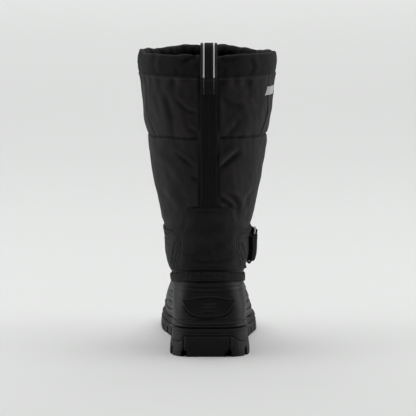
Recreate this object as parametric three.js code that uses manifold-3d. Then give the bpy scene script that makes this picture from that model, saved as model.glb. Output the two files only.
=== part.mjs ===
// Tall snow boot for a right foot, EU size 42, built from the pieces that a bootmaker joins: a lugged outsole, a
// moulded rubber shell, a padded nylon upper, leatherette overlays, a hook-and-loop ankle strap and a pull loop.
// Millimetres. +X is the outer side of the foot, +Y the toe, +Z up; the floor is z = 0.
import * as THREE from "three";
import Module from "manifold-3d";
import { mergeVertices } from "three/addons/utils/BufferGeometryUtils.js";

const wasm = await Module();
wasm.setup();

// ---- Driving dimensions ------------------------------------------------------------------------------------------

const SOLE_LENGTH = 305;
const SOLE_CENTRE = 2.8; // the sole's middle line lies this far to the outer side of the shaft's
const LUG_STAND = 6.4; // the lugs' feet stand this far outside the upper's skin
const TOE_TIP = SOLE_LENGTH / 2;
const LAST_TOE = TOE_TIP - LUG_STAND; // front end of the upper's skin
const AXIS_Y = -62; // a line up through the ankle that is inside the boot at every height
const HEEL_DECK = 32; // top of the outsole under the heel
const BALL_DECK = 18.5; // and under the ball of the foot
const TOE_SPRING = 10; // rise of the sole's tip off the floor
const LUG_DEPTH = 8;
const GAP = 0.4; // between neighbouring pieces
const RUBBER = 3; // shell wall
const LEATHERETTE = 1.8;
const WEBBING = 1.3;
const SHAFT_WALL = 6.5; // nylon, foam and lining
const FOOT_WALL = 5; // the same, inside the shell
const COLUMNS = 40; // facets round the boot

// ---- Tables ------------------------------------------------------------------------------------------------------

function table(columns, rows) {
  return Object.fromEntries(columns.map((name, i) => [name, rows.map((row) => row[i])]));
}

// Level sections of the leg and heel: the skin's rearmost and foremost y, half its width, and its middle x.
const LEG = table(
  ["z", "back", "front", "half", "centre"],
  [
    [20, -145.9, -50, 38.4, 2.8],
    [40, -146.1, -50, 38.6, 2.8],
    [56, -145.6, -50, 38.6, 2.4],
    [75, -143.4, -48, 37.4, 1.2],
    [88, -141.0, -45, 37.8, 0.4],
    [98, -139.4, -42, 40.8, 0.1],
    [112, -138.2, -38, 43.6, 0],
    [126, -138.0, -33, 44.8, 0],
    [136, -138.4, -29, 46.4, 0],
    [144, -139.0, -26, 49.0, 0],
    [154, -139.6, -22, 51.4, 0],
    [170, -140.4, -19, 54.8, 0],
    [200, -142.0, -18, 60.8, 0],
    [246, -144.2, -16, 68.1, 0],
    [280, -145.8, -13.5, 72.9, 0],
    [300, -146.6, -12, 75.2, 0],
    [312, -146.4, -12, 76.0, 0],
    [320, -147.8, -9.8, 78.2, 0],
    [330, -148.5, -8.6, 79.5, 0],
    [338, -148.2, -9.0, 79.0, 0],
    [344, -146.2, -11.2, 76.8, 0],
  ],
);

// Upright sections of the foot: middle x, half the width where it meets the sole, and the height of the instep's
// ridge. The toe's roundness comes on top.
const FOOT = table(
  ["y", "centre", "half", "ridge"],
  [
    [-110, 2.8, 33, 74],
    [-75, 2.8, 34.5, 96],
    [-40, 3.2, 36.5, 112],
    [-10, 3.2, 38.5, 114],
    [20, 2.9, 42.5, 107],
    [45, 2.6, 46, 97.5],
    [65, 2.2, 47.3, 90],
    [85, 1.0, 47.0, 83],
    [105, -1.4, 45.6, 76],
    [125, -4.4, 44, 70],
    [LAST_TOE, -7.0, 42.5, 66],
  ],
);

// The shaft's lines above the leatherette, and the wall's thickness at each; the hem at the collar is thicker.
const SHAFT = table(
  ["z", "wall"],
  [
    [158, SHAFT_WALL],
    [176, SHAFT_WALL],
    [205, SHAFT_WALL],
    [246, SHAFT_WALL],
    [280, SHAFT_WALL],
    [300, SHAFT_WALL],
    [312, SHAFT_WALL],
    [319, 9],
    [330, 10.5],
    [338, 10],
    [344, 6],
  ],
);

// The heel counter seen from behind: half its width at each height.
const COUNTER_TOP = 169.5;
const COUNTER = table(
  ["z", "half"],
  [
    [96, 34.5],
    [104, 35.8],
    [116, 34.6],
    [128, 33.2],
    [140, 33],
    [149, 30.2],
    [160, 27.6],
    [165, 26.4],
    [COUNTER_TOP, 21],
  ],
);

// ---- Reading the tables ------------------------------------------------------------------------------------------

const clamp = (x, low, high) => Math.min(high, Math.max(low, x));
const mix = (a, b, share) => a + (b - a) * share;

function smooth(from, to, x) {
  const s = clamp((x - from) / (to - from), 0, 1);
  return s * s * (3 - 2 * s);
}

// A column's value where the key column equals `at`: cubics between the rows, whose slopes come from the rows beside.
function read(rows, key, column, at) {
  const k = rows[key];
  const v = rows[column];
  const last = k.length - 1;
  const x = clamp(at, k[0], k[last]);
  const i = clamp(k.findLastIndex((knot) => knot <= x), 0, last - 1);
  const slope = (j) => {
    const a = Math.max(j - 1, 0);
    const b = Math.min(j + 1, last);
    return (v[b] - v[a]) / (k[b] - k[a]);
  };
  const step = k[i + 1] - k[i];
  const s = (x - k[i]) / step;
  return (
    v[i] * (2 * s ** 3 - 3 * s * s + 1) +
    v[i + 1] * (3 * s * s - 2 * s ** 3) +
    slope(i) * step * (s ** 3 - 2 * s * s + s) +
    slope(i + 1) * step * (s ** 3 - s * s)
  );
}

// ---- The last: the skin of the upper as a function of a point ----------------------------------------------------

const springAt = (y) => TOE_SPRING * (Math.max(y - 60, 0) / (TOE_TIP - 60)) ** 2;

// Top of the outsole, on which the upper, the shell and the insole stand.
const deckAt = (y) => mix(HEEL_DECK, BALL_DECK, smooth(-85, 45, y)) + springAt(y);

function legDistance([x, y, z]) {
  const back = read(LEG, "z", "back", z);
  const front = read(LEG, "z", "front", z);
  const half = read(LEG, "z", "half", z);
  const depth = (front - back) / 2;
  const across = Math.abs(x - read(LEG, "z", "centre", z)) / half;
  const along = Math.abs(y - (back + front) / 2) / depth;
  const squareness = 3 - 0.65 * smooth(30, 90, z) - 0.3 * smooth(90, 170, z);
  return ((across ** squareness + along ** squareness) ** (1 / squareness) - 1) * ((half + depth) / 2);
}

// The foot ends inside the leg behind, and at the toe in front; both ends are round in plan.
const FOOT_BACK = -128;
const LEAN = 4; // the instep's ridge lies this much nearer the inner side than the sole's middle does

function footDistance([x, y, z]) {
  if (y >= LAST_TOE) return y - LAST_TOE + 1;
  if (y <= FOOT_BACK) return FOOT_BACK - y + 1;
  const toe = clamp((y - 86) / (LAST_TOE - 86), 0, 1);
  const toeTop = clamp((y - 106) / (LAST_TOE - 106), 0, 1);
  const heel = clamp((-90 - y) / (-90 - FOOT_BACK), 0, 1);
  const half = read(FOOT, "y", "half", y) * Math.sqrt((1 - toe ** 2) * (1 - heel ** 2));
  const rise = (read(FOOT, "y", "ridge", y) - deckAt(y)) * (1 - toeTop ** 3) ** (1 / 2.4);
  const up = Math.max(z - deckAt(y), 0) / Math.max(rise, 0.5);
  const centre = read(FOOT, "y", "centre", y) - LEAN * Math.min(up, 1);
  const across = Math.abs(x - centre) / Math.max(half, 0.5);
  return ((across ** 2.4 + up ** 1.5) ** (1 / 2) - 1) * 45;
}

// Negative inside the upper, positive outside. Leg and foot melt into each other over the instep.
function skinDistance(point) {
  const leg = legDistance(point);
  const foot = footDistance(point);
  const fillet = 4 + 30 * smooth(55, 110, point[2]) * smooth(-110, -50, point[1]);
  const both = Math.max(fillet - Math.abs(leg - foot), 0);
  return Math.min(leg, foot) - (both * both) / (4 * fillet);
}

function skinNormal(point) {
  const step = 0.4;
  const slope = [0, 1, 2].map((axis) => {
    const ahead = [...point];
    const behind = [...point];
    ahead[axis] += step;
    behind[axis] -= step;
    return skinDistance(ahead) - skinDistance(behind);
  });
  const length = Math.hypot(...slope);
  return slope.map((part) => part / length);
}

// ---- Lines round the boot ----------------------------------------------------------------------------------------

// A line is where the skin meets the surface z = heightAt(y). It gives the skin's point at angle t, which is 0 at the
// back, a quarter turn at the outer side and half a turn at the front.
function lineAt(heightAt) {
  const reach = (x, y, dx, dy) => {
    const length = Math.hypot(dx, dy);
    const at = (s) => [x + (dx * s) / length, y + (dy * s) / length, heightAt(y + (dy * s) / length)];
    let inside = 0;
    let outside = 260;
    for (let step = 0; step < 26; step++) {
      const middle = (inside + outside) / 2;
      if (skinDistance(at(middle)) < 0) inside = middle;
      else outside = middle;
    }
    return at(inside);
  };
  const back = reach(SOLE_CENTRE, AXIS_Y, 0, -1)[1];
  const front = reach(SOLE_CENTRE, AXIS_Y, 0, 1)[1];
  const middle = (back + front) / 2;
  const centre = read(LEG, "z", "centre", heightAt(middle));
  const half = reach(centre, middle, 1, 0)[0] - centre;
  const point = (t) => reach(centre, middle, half * Math.sin(t), (back - middle) * Math.cos(t));
  return { heightAt, point };
}

const levelLine = (z) => lineAt(() => z);

const deckLine = (above) => lineAt((y) => deckAt(y) + above);

// A line through one height at the back and another at the front, that sags by `dip` between them.
function slopingLine(backZ, frontZ, dip) {
  const back = levelLine(backZ).point(0)[1];
  const front = levelLine(frontZ).point(Math.PI)[1];
  return lineAt((y) => {
    const share = clamp((y - back) / (front - back), 0, 1);
    return mix(backZ, frontZ, share) - dip * 4 * share * (1 - share);
  });
}

const lineBetween = (low, high, share) => lineAt((y) => mix(low.heightAt(y), high.heightAt(y), share));

const linesBetween = (low, high, count) =>
  Array.from({ length: count + 1 }, (_, i) => lineBetween(low, high, i / count));

// Angle, within a quarter turn of the back, at which a line reaches a given x.
function angleAtX(line, x) {
  let low = -Math.PI / 2;
  let high = Math.PI / 2;
  for (let step = 0; step < 22; step++) {
    const middle = (low + high) / 2;
    if (line.point(middle)[0] < x) low = middle;
    else high = middle;
  }
  return low;
}

// Lines that neighbouring pieces share, so that their facets lie parallel: from the sole to the band, over the
// shell's upper edge, and from the band to the leatherette's upper edge.
const SHELL_TOP = { back: 88, front: 95, dip: 11 };
const QUARTER_TOP = { back: 139, front: 150, dip: 2 };
const BAND = { below: 2.6, above: 8.4 }; // how far the band reaches each side of the shell's edge
const aboveShell = (rise) => slopingLine(SHELL_TOP.back + rise, SHELL_TOP.front + rise, SHELL_TOP.dip);
const FEATHER = deckLine(GAP + 0.4);
const SHELL_EDGE = aboveShell(0);
const QUARTER_FOOT = aboveShell(1.5);
const FOOT_LINES = linesBetween(FEATHER, aboveShell(-BAND.below), 6);
const QUARTER_EDGE = slopingLine(QUARTER_TOP.back, QUARTER_TOP.front, QUARTER_TOP.dip);
const ANKLE_LINES = linesBetween(aboveShell(BAND.above), QUARTER_EDGE, 6);

// ---- Making solids -----------------------------------------------------------------------------------------------

function geometryOf(vertices, triangles) {
  return new THREE.BufferGeometry()
    .setAttribute("position", new THREE.Float32BufferAttribute(vertices.flat(), 3))
    .setIndex(triangles.flat());
}

// A closed wall from two grids of points of one shape, both [row][column]; `around` joins last column to first.
function wallBetween(outer, inner, around) {
  const rows = outer.length;
  const columns = outer[0].length;
  const vertices = [...outer.flat(), ...inner.flat()];
  const out = (r, c) => r * columns + (c % columns);
  const inn = (r, c) => rows * columns + out(r, c);
  const triangles = [];
  const quad = (a, b, c, d) => triangles.push([a, b, c], [a, c, d]);
  const spans = around ? columns : columns - 1;
  for (let c = 0; c < spans; c++) {
    for (let r = 0; r < rows - 1; r++) {
      quad(out(r, c), out(r, c + 1), out(r + 1, c + 1), out(r + 1, c));
      quad(inn(r, c), inn(r + 1, c), inn(r + 1, c + 1), inn(r, c + 1));
    }
    quad(out(0, c + 1), out(0, c), inn(0, c), inn(0, c + 1));
    quad(out(rows - 1, c), out(rows - 1, c + 1), inn(rows - 1, c + 1), inn(rows - 1, c));
  }
  if (!around)
    for (let r = 0; r < rows - 1; r++) {
      quad(out(r, 0), out(r + 1, 0), inn(r + 1, 0), inn(r, 0));
      quad(out(r, spans), inn(r, spans), inn(r + 1, spans), out(r + 1, spans));
    }
  return geometryOf(vertices, triangles);
}

// A piece that follows the skin, all the way round or between the two angles that `spans` gives for each line. Its
// faces stand `inner` and `outer` off the skin, one value for all lines or one for each.
function skinPiece({ lines, columns = COLUMNS, spans, inner, outer }) {
  const around = !spans;
  const grid = (offsets) =>
    lines.map((line, row) =>
      Array.from({ length: around ? columns : columns + 1 }, (_, c) => {
        const [from, to] = around ? [0, 2 * Math.PI] : spans[row];
        const point = line.point(mix(from, to, c / columns));
        const normal = skinNormal(point);
        const off = Array.isArray(offsets) ? offsets[row] : offsets;
        return point.map((part, axis) => part + normal[axis] * off);
      }),
    );
  return wallBetween(grid(outer), grid(inner), around);
}

function manifoldOf(geometry) {
  const bare = geometry.clone();
  bare.deleteAttribute("normal");
  bare.deleteAttribute("uv");
  const merged = mergeVertices(bare, 1e-4);
  return new wasm.Manifold(
    new wasm.Mesh({
      numProp: 3,
      vertProperties: merged.attributes.position.array,
      triVerts: new Uint32Array(merged.index.array),
    }),
  );
}

function geometryFrom(manifold) {
  const mesh = manifold.getMesh();
  return new THREE.BufferGeometry()
    .setAttribute("position", new THREE.BufferAttribute(mesh.vertProperties, 3))
    .setIndex(new THREE.BufferAttribute(mesh.triVerts, 1));
}

// A solid with a floor and a lid, from closed rings of points that run from low to high. Floor and lid are strips
// across the ring, from each point to the one as far round the other way.
function stackOf(rings) {
  const count = rings[0].length;
  const lid = (rings.length - 1) * count;
  const triangles = [];
  for (let r = 0; r < rings.length - 1; r++)
    for (let c = 0; c < count; c++) {
      const a = r * count + c;
      const b = r * count + ((c + 1) % count);
      triangles.push([a, b, b + count], [a, b + count, a + count]);
    }
  const strip = (a, b, c) => triangles.push([c, b, a], [lid + a, lid + b, lid + c]);
  for (let i = 0; i < count / 2; i++) {
    const across = count - i - 1;
    if (i + 1 < across) strip(i, i + 1, across);
    if (i > 0) strip(i, across, across + 1);
  }
  return geometryOf(rings.flat(), triangles);
}

// ---- Upper: padded nylon shaft, hemmed at the collar and lasted down to the sole ---------------------------------

function makeUpper() {
  const lines = [...FOOT_LINES, SHELL_EDGE, QUARTER_FOOT, ...ANKLE_LINES, ...SHAFT.z.map(levelLine)];
  const below = lines.length - SHAFT.z.length;
  const walls = lines.map((_, row) => (row < below ? FOOT_WALL : SHAFT.wall[row - below]));
  return skinPiece({ lines, inner: walls.map((wall) => -wall), outer: 0 });
}

// ---- Shell: moulded rubber galosh, open on top and under the foot ------------------------------------------------

const makeShell = () => skinPiece({ lines: [...FOOT_LINES, SHELL_EDGE], inner: GAP, outer: GAP + RUBBER });

// ---- Leatherette overlays and the band ---------------------------------------------------------------------------

const QUARTER_OUTER = GAP + LEATHERETTE;
const COUNTER_INNER = QUARTER_OUTER + 3 * GAP;

// Quarter and vamp in one piece, from the shell's edge to above the ankle, all the way round.
const makeQuarter = () => skinPiece({ lines: [QUARTER_FOOT, ...ANKLE_LINES], inner: GAP, outer: QUARTER_OUTER });

// Heel counter: it lies on the quarter, and above the quarter's edge it comes down onto the nylon. Its foot flares a
// little, over the hollow above the band.
function makeCounter() {
  const foot = lineBetween(ANKLE_LINES[0], ANKLE_LINES[1], 0.12);
  const lines = [foot, ...ANKLE_LINES.slice(1), ...[149, 156, 161, 165.5, COUNTER_TOP].map(levelLine)];
  const heights = lines.map((line) => line.point(0)[2]);
  const halves = heights.map((z) => read(COUNTER, "z", "half", z));
  const flare = (z) => 1.1 * smooth(114, 104, z);
  const standOff = heights.map((z) => mix(COUNTER_INNER, GAP, smooth(140, 150, z)) + flare(z));
  return skinPiece({
    lines,
    columns: 12,
    spans: lines.map((line, row) => [-1, 1].map((way) => angleAtX(line, way * halves[row]))),
    inner: standOff,
    outer: standOff.map((off) => off + LEATHERETTE),
  });
}

// Band of nylon that covers the seam between the shell and what stands above it.
function makeBand() {
  const inner = GAP + RUBBER + GAP;
  const outer = inner + 1.6;
  return skinPiece({ lines: [FOOT_LINES.at(-1), SHELL_EDGE, ANKLE_LINES[0]], inner, outer });
}

// ---- Ankle strap, its ring and the tab that holds the ring -------------------------------------------------------

// Places round the boot are angles, as in lineAt; the strap is sewn down on the inner side and ends on the outer.
const STRAP = { thickness: 2, sewn: 1.4, tip: 2.19, low: slopingLine(98, 112, 3), high: slopingLine(130, 143, -2) };
const RING = { wire: 2.8, frontBar: 1.59, backBar: 1.41, above: 0.05, play: 0.8 }; // play: from the wire to the webbing
const TAB = { slit: 1.22, low: 0.12, high: 0.88 }; // it is narrower than the strap: shares of the strap's width

const strapLine = (share) => lineBetween(STRAP.low, STRAP.high, share);

// Millimetres along a line for each radian, where the ring is.
function ringScale(line) {
  const bars = [RING.backBar, RING.frontBar].map((t) => new THREE.Vector3(...line.point(t)));
  return bars[0].distanceTo(bars[1]) / (RING.frontBar - RING.backBar);
}

// A strip that follows the skin: `path` lists [angle, stand-off] along its middle, and may fold back on itself.
function foldedStrip(lines, path, thickness) {
  const grids = [1, -1].map((way) =>
    lines.map((line) => {
      const scale = ringScale(line);
      return path.map(([t, off], i) => {
        const [t0, off0] = path[Math.max(i - 1, 0)];
        const [t1, off1] = path[Math.min(i + 1, path.length - 1)];
        const length = Math.hypot((t1 - t0) * scale, off1 - off0);
        const half = (way * thickness) / 2;
        const point = line.point(t - (((off1 - off0) / length) * half) / scale);
        const normal = skinNormal(point);
        const stand = off + (((t1 - t0) * scale) / length) * half;
        return point.map((part, axis) => part + normal[axis] * stand);
      });
    }),
  );
  return wallBetween(grids[0], grids[1], false);
}

// Half a turn round a bar at angle t, from its outer side to its inner; `way` is the side on which it turns.
function turnRound(t, middle, radius, way) {
  const steps = 6;
  const scale = ringScale(strapLine(0.5));
  return Array.from({ length: steps + 1 }, (_, i) => {
    const turn = (Math.PI * i) / steps;
    return [t + (way * Math.sin(turn) * radius) / scale, middle + Math.cos(turn) * radius];
  });
}

const FOLD_RADIUS = RING.wire / 2 + RING.play + STRAP.thickness / 2;
const STRAP_LOW = QUARTER_OUTER + 2 * GAP + STRAP.thickness / 2; // the strap's middle where it lies on the quarter
const RING_OFF = STRAP_LOW + FOLD_RADIUS;

// Sewn on the inner side, over the instep, round the ring's front bar, and back onto itself.
function makeStrap() {
  const whole = 2 * Math.PI;
  const bridge = (t) => 1.2 * smooth(1, 0.4, Math.abs(t + Math.PI)); // the instep is hollow, and the strap is taut
  const flat = (from, to, off, count) =>
    Array.from({ length: count }, (_, i) => mix(from, to, i / (count - 1))).map((t) => [t, off + bridge(t)]);
  const path = [
    ...flat(STRAP.tip - whole, RING.frontBar + 0.2 - whole, STRAP_LOW + STRAP.thickness + GAP, 5),
    ...turnRound(RING.frontBar - whole, RING_OFF, FOLD_RADIUS, -1),
    ...flat(RING.frontBar + 0.13 - whole, -STRAP.sewn, STRAP_LOW, 26),
  ];
  return foldedStrip([0, 1 / 3, 2 / 3, 1].map(strapLine), path, STRAP.thickness);
}

// A short loop of webbing from the slit round the ring's back bar.
function makeRingTab() {
  const path = [
    [TAB.slit, STRAP_LOW],
    [RING.backBar - 0.12, STRAP_LOW],
    ...turnRound(RING.backBar, RING_OFF, FOLD_RADIUS, 1).reverse(),
    [RING.backBar - 0.11, RING_OFF + FOLD_RADIUS - 1],
    [TAB.slit, STRAP_LOW + STRAP.thickness + GAP],
  ];
  return foldedStrip([TAB.low, (TAB.low + TAB.high) / 2, TAB.high].map(strapLine), path, STRAP.thickness);
}

// The ring is a rectangle of wire that bends with the skin, with its corners cut.
function makeRing() {
  const cut = 0.035;
  const [low, high] = [-RING.above, 1 + RING.above];
  const front = [low + cut, 1 / 3, 2 / 3, high - cut].map((share) => [RING.frontBar, share]);
  const back = front.map(([, share]) => [RING.backBar, share]).reverse();
  const between = [RING.frontBar - cut, RING.backBar + cut];
  const path = [...front, ...between.map((t) => [t, high]), ...back, ...between.reverse().map((t) => [t, low])];
  const points = path.map(([t, share]) => strapLine(share).point(t));
  const normals = points.map((point) => new THREE.Vector3(...skinNormal(point)));
  const wire = points.map((point, i) => new THREE.Vector3(...point).addScaledVector(normals[i], RING_OFF));
  const sides = 6;
  const count = path.length;
  const vertices = wire.flatMap((here, i) => {
    const ahead = wire[(i + 1) % count].clone().sub(here).normalize();
    const behind = here.clone().sub(wire[(i + count - 1) % count]).normalize();
    const outward = ahead.clone().add(behind).cross(normals[i]).normalize();
    return Array.from({ length: sides }, (_, s) => {
      const turn = (2 * Math.PI * s) / sides;
      const off = outward.clone().multiplyScalar(Math.cos(turn)).addScaledVector(normals[i], Math.sin(turn));
      return here.clone().addScaledVector(off, RING.wire / 2).toArray();
    });
  });
  const triangles = [];
  for (let i = 0; i < count; i++)
    for (let s = 0; s < sides; s++) {
      const [a, b] = [i * sides + s, i * sides + ((s + 1) % sides)];
      const [c, d] = [a, b].map((corner) => (corner + sides) % (count * sides));
      triangles.push([a, d, b], [a, c, d]);
    }
  return geometryOf(vertices, triangles);
}

// ---- Back stay and pull loop: webbing ----------------------------------------------------------------------------

const WEB = { width: 19.4, centre: 1.9 };

function makeBackStay() {
  const lines = [COUNTER_TOP + 1, 205, 246, 280, 300, 312, 319, 330].map(levelLine);
  const sides = [WEB.centre - WEB.width / 2, WEB.centre + WEB.width / 2];
  return skinPiece({
    lines,
    columns: 4,
    spans: lines.map((line) => sides.map((x) => angleAtX(line, x))),
    inner: GAP,
    outer: GAP + WEBBING,
  });
}

// The loop is one flat band: up the outside of the collar, over its rim and down the inside.
const LOOP = { foot: 300, arch: 340, top: 358, insideFoot: 316, insideDepth: 16 };

function makePullLoop() {
  const skinY = (z) => levelLine(z).point(0)[1];
  const clear = GAP + WEBBING + 1;
  const outside = [LOOP.foot, 312, 320, 330, LOOP.arch].map((z) => [skinY(z) - clear, z]);
  const insideY = skinY(330) + LOOP.insideDepth;
  const middleY = (outside.at(-1)[0] + insideY) / 2;
  const reach = insideY - middleY;
  const arch = Array.from({ length: 9 }, (_, i) => {
    const turn = (Math.PI * (i + 1)) / 9;
    return [middleY - reach * Math.cos(turn), LOOP.arch + (LOOP.top - WEBBING - LOOP.arch) * Math.sin(turn)];
  });
  const path = [...outside, ...arch, [insideY, LOOP.insideFoot]];
  const sides = [WEBBING, 0].map((off) =>
    path.map((p, i) => {
      const a = path[Math.max(i - 1, 0)];
      const b = path[Math.min(i + 1, path.length - 1)];
      const length = Math.hypot(b[0] - a[0], b[1] - a[1]);
      return [p[0] - ((b[1] - a[1]) / length) * off, p[1] + ((b[0] - a[0]) / length) * off];
    }),
  );
  const at = (x) => sides.map((side) => side.map(([y, z]) => [x, y, z]));
  const [outerLeft, innerLeft] = at(WEB.centre - WEB.width / 2);
  const [outerRight, innerRight] = at(WEB.centre + WEB.width / 2);
  return wallBetween(
    outerLeft.map((p, i) => [p, outerRight[i]]),
    innerLeft.map((p, i) => [p, innerRight[i]]),
    false,
  );
}

// ---- Insole ------------------------------------------------------------------------------------------------------

function makeInsole() {
  const inset = FOOT_WALL + 1.4;
  const ring = (above) =>
    Array.from({ length: COLUMNS }, (_, c) => {
      const point = FEATHER.point((c / COLUMNS) * 2 * Math.PI);
      const [nx, ny] = skinNormal(point);
      const y = point[1] - (ny / Math.hypot(nx, ny)) * inset;
      return [point[0] - (nx / Math.hypot(nx, ny)) * inset, y, deckAt(y) + above];
    });
  return stackOf([ring(GAP + 0.2), ring(GAP + 5.5)]);
}

// ---- Outsole -----------------------------------------------------------------------------------------------------

// The sole's outline at angle t, `off` outside the last, at `height` above the floor before the toe springs up: a
// number, or a function of the feather line's y. The forefoot's sole is broader: low down, it stands out by up to
// BALL_FLARE more.
const BALL_FLARE = 2.4;

function soleEdge(t, off, height) {
  const [x, y, z] = FEATHER.point(t);
  const [nx, ny] = skinNormal([x, y, z]);
  const flare = BALL_FLARE * smooth(0, 50, y) * smooth(130, 95, y) * smooth(2.5, 5, off);
  const out = (off + flare) / Math.hypot(nx, ny);
  const level = typeof height === "function" ? height(y) : height;
  return [x + nx * out, y + ny * out, level + springAt(y)];
}

// Distances along the outline from the back of the heel, one for each degree, down the outer and the inner side.
function measureSide(way) {
  const reached = [0];
  for (let degree = 1; degree <= 180; degree++) {
    const [a, b] = [degree - 1, degree].map((d) => soleEdge((way * d * Math.PI) / 180, 5, 0));
    reached.push(reached.at(-1) + Math.hypot(b[0] - a[0], b[1] - a[1]));
  }
  return reached;
}
const OUTER_SIDE = measureSide(1);
const INNER_SIDE = measureSide(-1);

// Angle of the point so many millimetres along the outline; below zero they count down the inner side.
function angleAlong(distance) {
  const side = distance < 0 ? INNER_SIDE : OUTER_SIDE;
  const sought = Math.min(Math.abs(distance), side.at(-1) - 0.001);
  const i = side.findIndex((reached) => reached > sought);
  const degrees = i - 1 + (sought - side[i - 1]) / (side[i] - side[i - 1]);
  return (Math.sign(distance) * degrees * Math.PI) / 180;
}

// A block on the sole's edge between two angles: each level gives how far its face stands outside the last and its
// height, and the block reaches `deep` in from the lowest.
function edgeBlock(from, to, levels, deep, steps = 1) {
  const angles = Array.from({ length: steps + 1 }, (_, i) => mix(from, to, i / steps));
  const face = levels.map(([off, z]) => angles.map((t) => soleEdge(t, off, z)));
  const back = levels.map(([, z]) => angles.map((t) => soleEdge(t, levels[0][0] - deep, z)));
  return wallBetween(face, back, false);
}

// Body of the sole: a rim under the shell, and a wall that flares towards the floor. Its underside is arched between
// heel and ball.
function makeSoleBody() {
  const underside = (y) => LUG_DEPTH + 5 * smooth(-78, -52, y) * smooth(14, -14, y);
  const levelDeck = (y) => deckAt(y) - springAt(y);
  const levels = [
    [4.0, underside],
    [5.0, (y) => underside(y) + 2],
    [4.2, (y) => mix(underside(y), levelDeck(y), 0.62)],
    [3.6, (y) => levelDeck(y) - 1],
    [2.6, levelDeck],
  ];
  const count = COLUMNS * 2;
  const rings = levels.map(([off, height]) =>
    Array.from({ length: count }, (_, c) => soleEdge((c / count) * 2 * Math.PI, off, height)),
  );
  return stackOf(rings);
}

// Rows of lugs along both edges, in millimetres along the outline; the arch between heel and ball has none.
const HEEL_BLOCK = 28; // half the length of the block at the back of the heel
const TOE_BLOCK = 10; // and of the one at the toe
const LUG_GAP = 5.5;
const HEEL_LUGS = { from: HEEL_BLOCK + LUG_GAP, to: 124, count: 4, deep: 17, high: 21 };
const BALL_LUGS = { from: 164, count: 9, deep: 19, high: 13 };

function makeEdgeLugs() {
  return [OUTER_SIDE, INNER_SIDE].flatMap((side) =>
    [HEEL_LUGS, BALL_LUGS].flatMap(({ from, to = side.at(-1) - TOE_BLOCK, count, deep, high }) => {
      const way = side === OUTER_SIDE ? 1 : -1;
      const pitch = (to - from) / count;
      const levels = [
        [LUG_STAND, 0],
        [LUG_STAND - 1.6, high],
      ];
      return Array.from({ length: count }, (_, i) => {
        const start = angleAlong(way * (from + i * pitch));
        const end = angleAlong(way * (from + (i + 1) * pitch - LUG_GAP));
        return edgeBlock(Math.min(start, end), Math.max(start, end), levels, deep);
      });
    }),
  );
}

// The wide block at the back of the heel, which tapers upwards to a flat top under the rim.
function makeHeelBlock() {
  const levels = [
    [LUG_STAND + 0.1, 0],
    [LUG_STAND - 0.5, 12],
    [LUG_STAND - 1.3, 22],
  ];
  return edgeBlock(angleAlong(-HEEL_BLOCK), angleAlong(HEEL_BLOCK), levels, 18, 6);
}

// The toe's block reaches as far forward as the sole is long.
function makeToeBlock() {
  const from = angleAlong(OUTER_SIDE.at(-1) - TOE_BLOCK);
  const to = 2 * Math.PI + angleAlong(TOE_BLOCK - INNER_SIDE.at(-1));
  const levels = [
    [LUG_STAND + 1.3, 0],
    [LUG_STAND - 0.8, BALL_LUGS.high],
  ];
  return edgeBlock(from, to, levels, 14, 2);
}

// Bars across the middle of heel and forefoot.
const MIDDLE_LUGS = table(
  ["y", "half", "length"],
  [
    [-114, 16, 12],
    [-94, 17, 12],
    [-74, 17, 12],
    [4, 22, 12],
    [23, 24, 12],
    [42, 25, 12],
    [61, 24, 12],
    [80, 22, 12],
    [99, 18, 12],
  ],
);

function makeMiddleLugs() {
  return MIDDLE_LUGS.y.map((y, i) => {
    const centre = read(FOOT, "y", "centre", y);
    const half = MIDDLE_LUGS.half[i];
    const reach = MIDDLE_LUGS.length[i] / 2;
    const ring = (grow, z) =>
      [
        [-half - grow, -reach - grow],
        [half + grow, -reach - grow],
        [half + grow, reach + grow],
        [-half - grow, reach + grow],
      ].map(([dx, dy]) => [centre + dx, y + dy, z + springAt(y + dy)]);
    return stackOf([ring(0, 0), ring(1.5, LUG_DEPTH + 2)]);
  });
}

function makeOutsole() {
  const lugs = [...makeEdgeLugs(), ...makeMiddleLugs(), makeHeelBlock(), makeToeBlock()];
  return geometryFrom(lugs.reduce((sum, lug) => sum.add(manifoldOf(lug)), manifoldOf(makeSoleBody())));
}

// ---- The boot ----------------------------------------------------------------------------------------------------

const NYLON = { color: 0x2a2726, roughness: 0.85, metalness: 0 };
const LEATHER = { color: 0x1e201f, roughness: 0.5, metalness: 0 };
const MOULDED = { color: 0x1c1e1d, roughness: 0.42, metalness: 0 };
const BLACK_WEB = { color: 0x0d0d0d, roughness: 0.8, metalness: 0 };
const STEEL = { color: 0x8c8c8c, roughness: 0.3, metalness: 1 };
const FELT = { color: 0x18181a, roughness: 0.95, metalness: 0 };

const boot = new THREE.Group();
const pieces = [
  ["outsole", makeOutsole, MOULDED],
  ["shell", makeShell, MOULDED],
  ["upper", makeUpper, NYLON],
  ["insole", makeInsole, FELT],
  ["quarter", makeQuarter, LEATHER],
  ["counter", makeCounter, LEATHER],
  ["band", makeBand, NYLON],
  ["strap", makeStrap, BLACK_WEB],
  ["ring_tab", makeRingTab, BLACK_WEB],
  ["strap_ring", makeRing, STEEL],
  ["back_stay", makeBackStay, BLACK_WEB],
  ["pull_loop", makePullLoop, BLACK_WEB],
];
for (const [name, make, finish] of pieces) {
  const mesh = new THREE.Mesh(make(), new THREE.MeshStandardMaterial(finish));
  mesh.name = name;
  boot.add(mesh);
}

export default boot;
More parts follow.
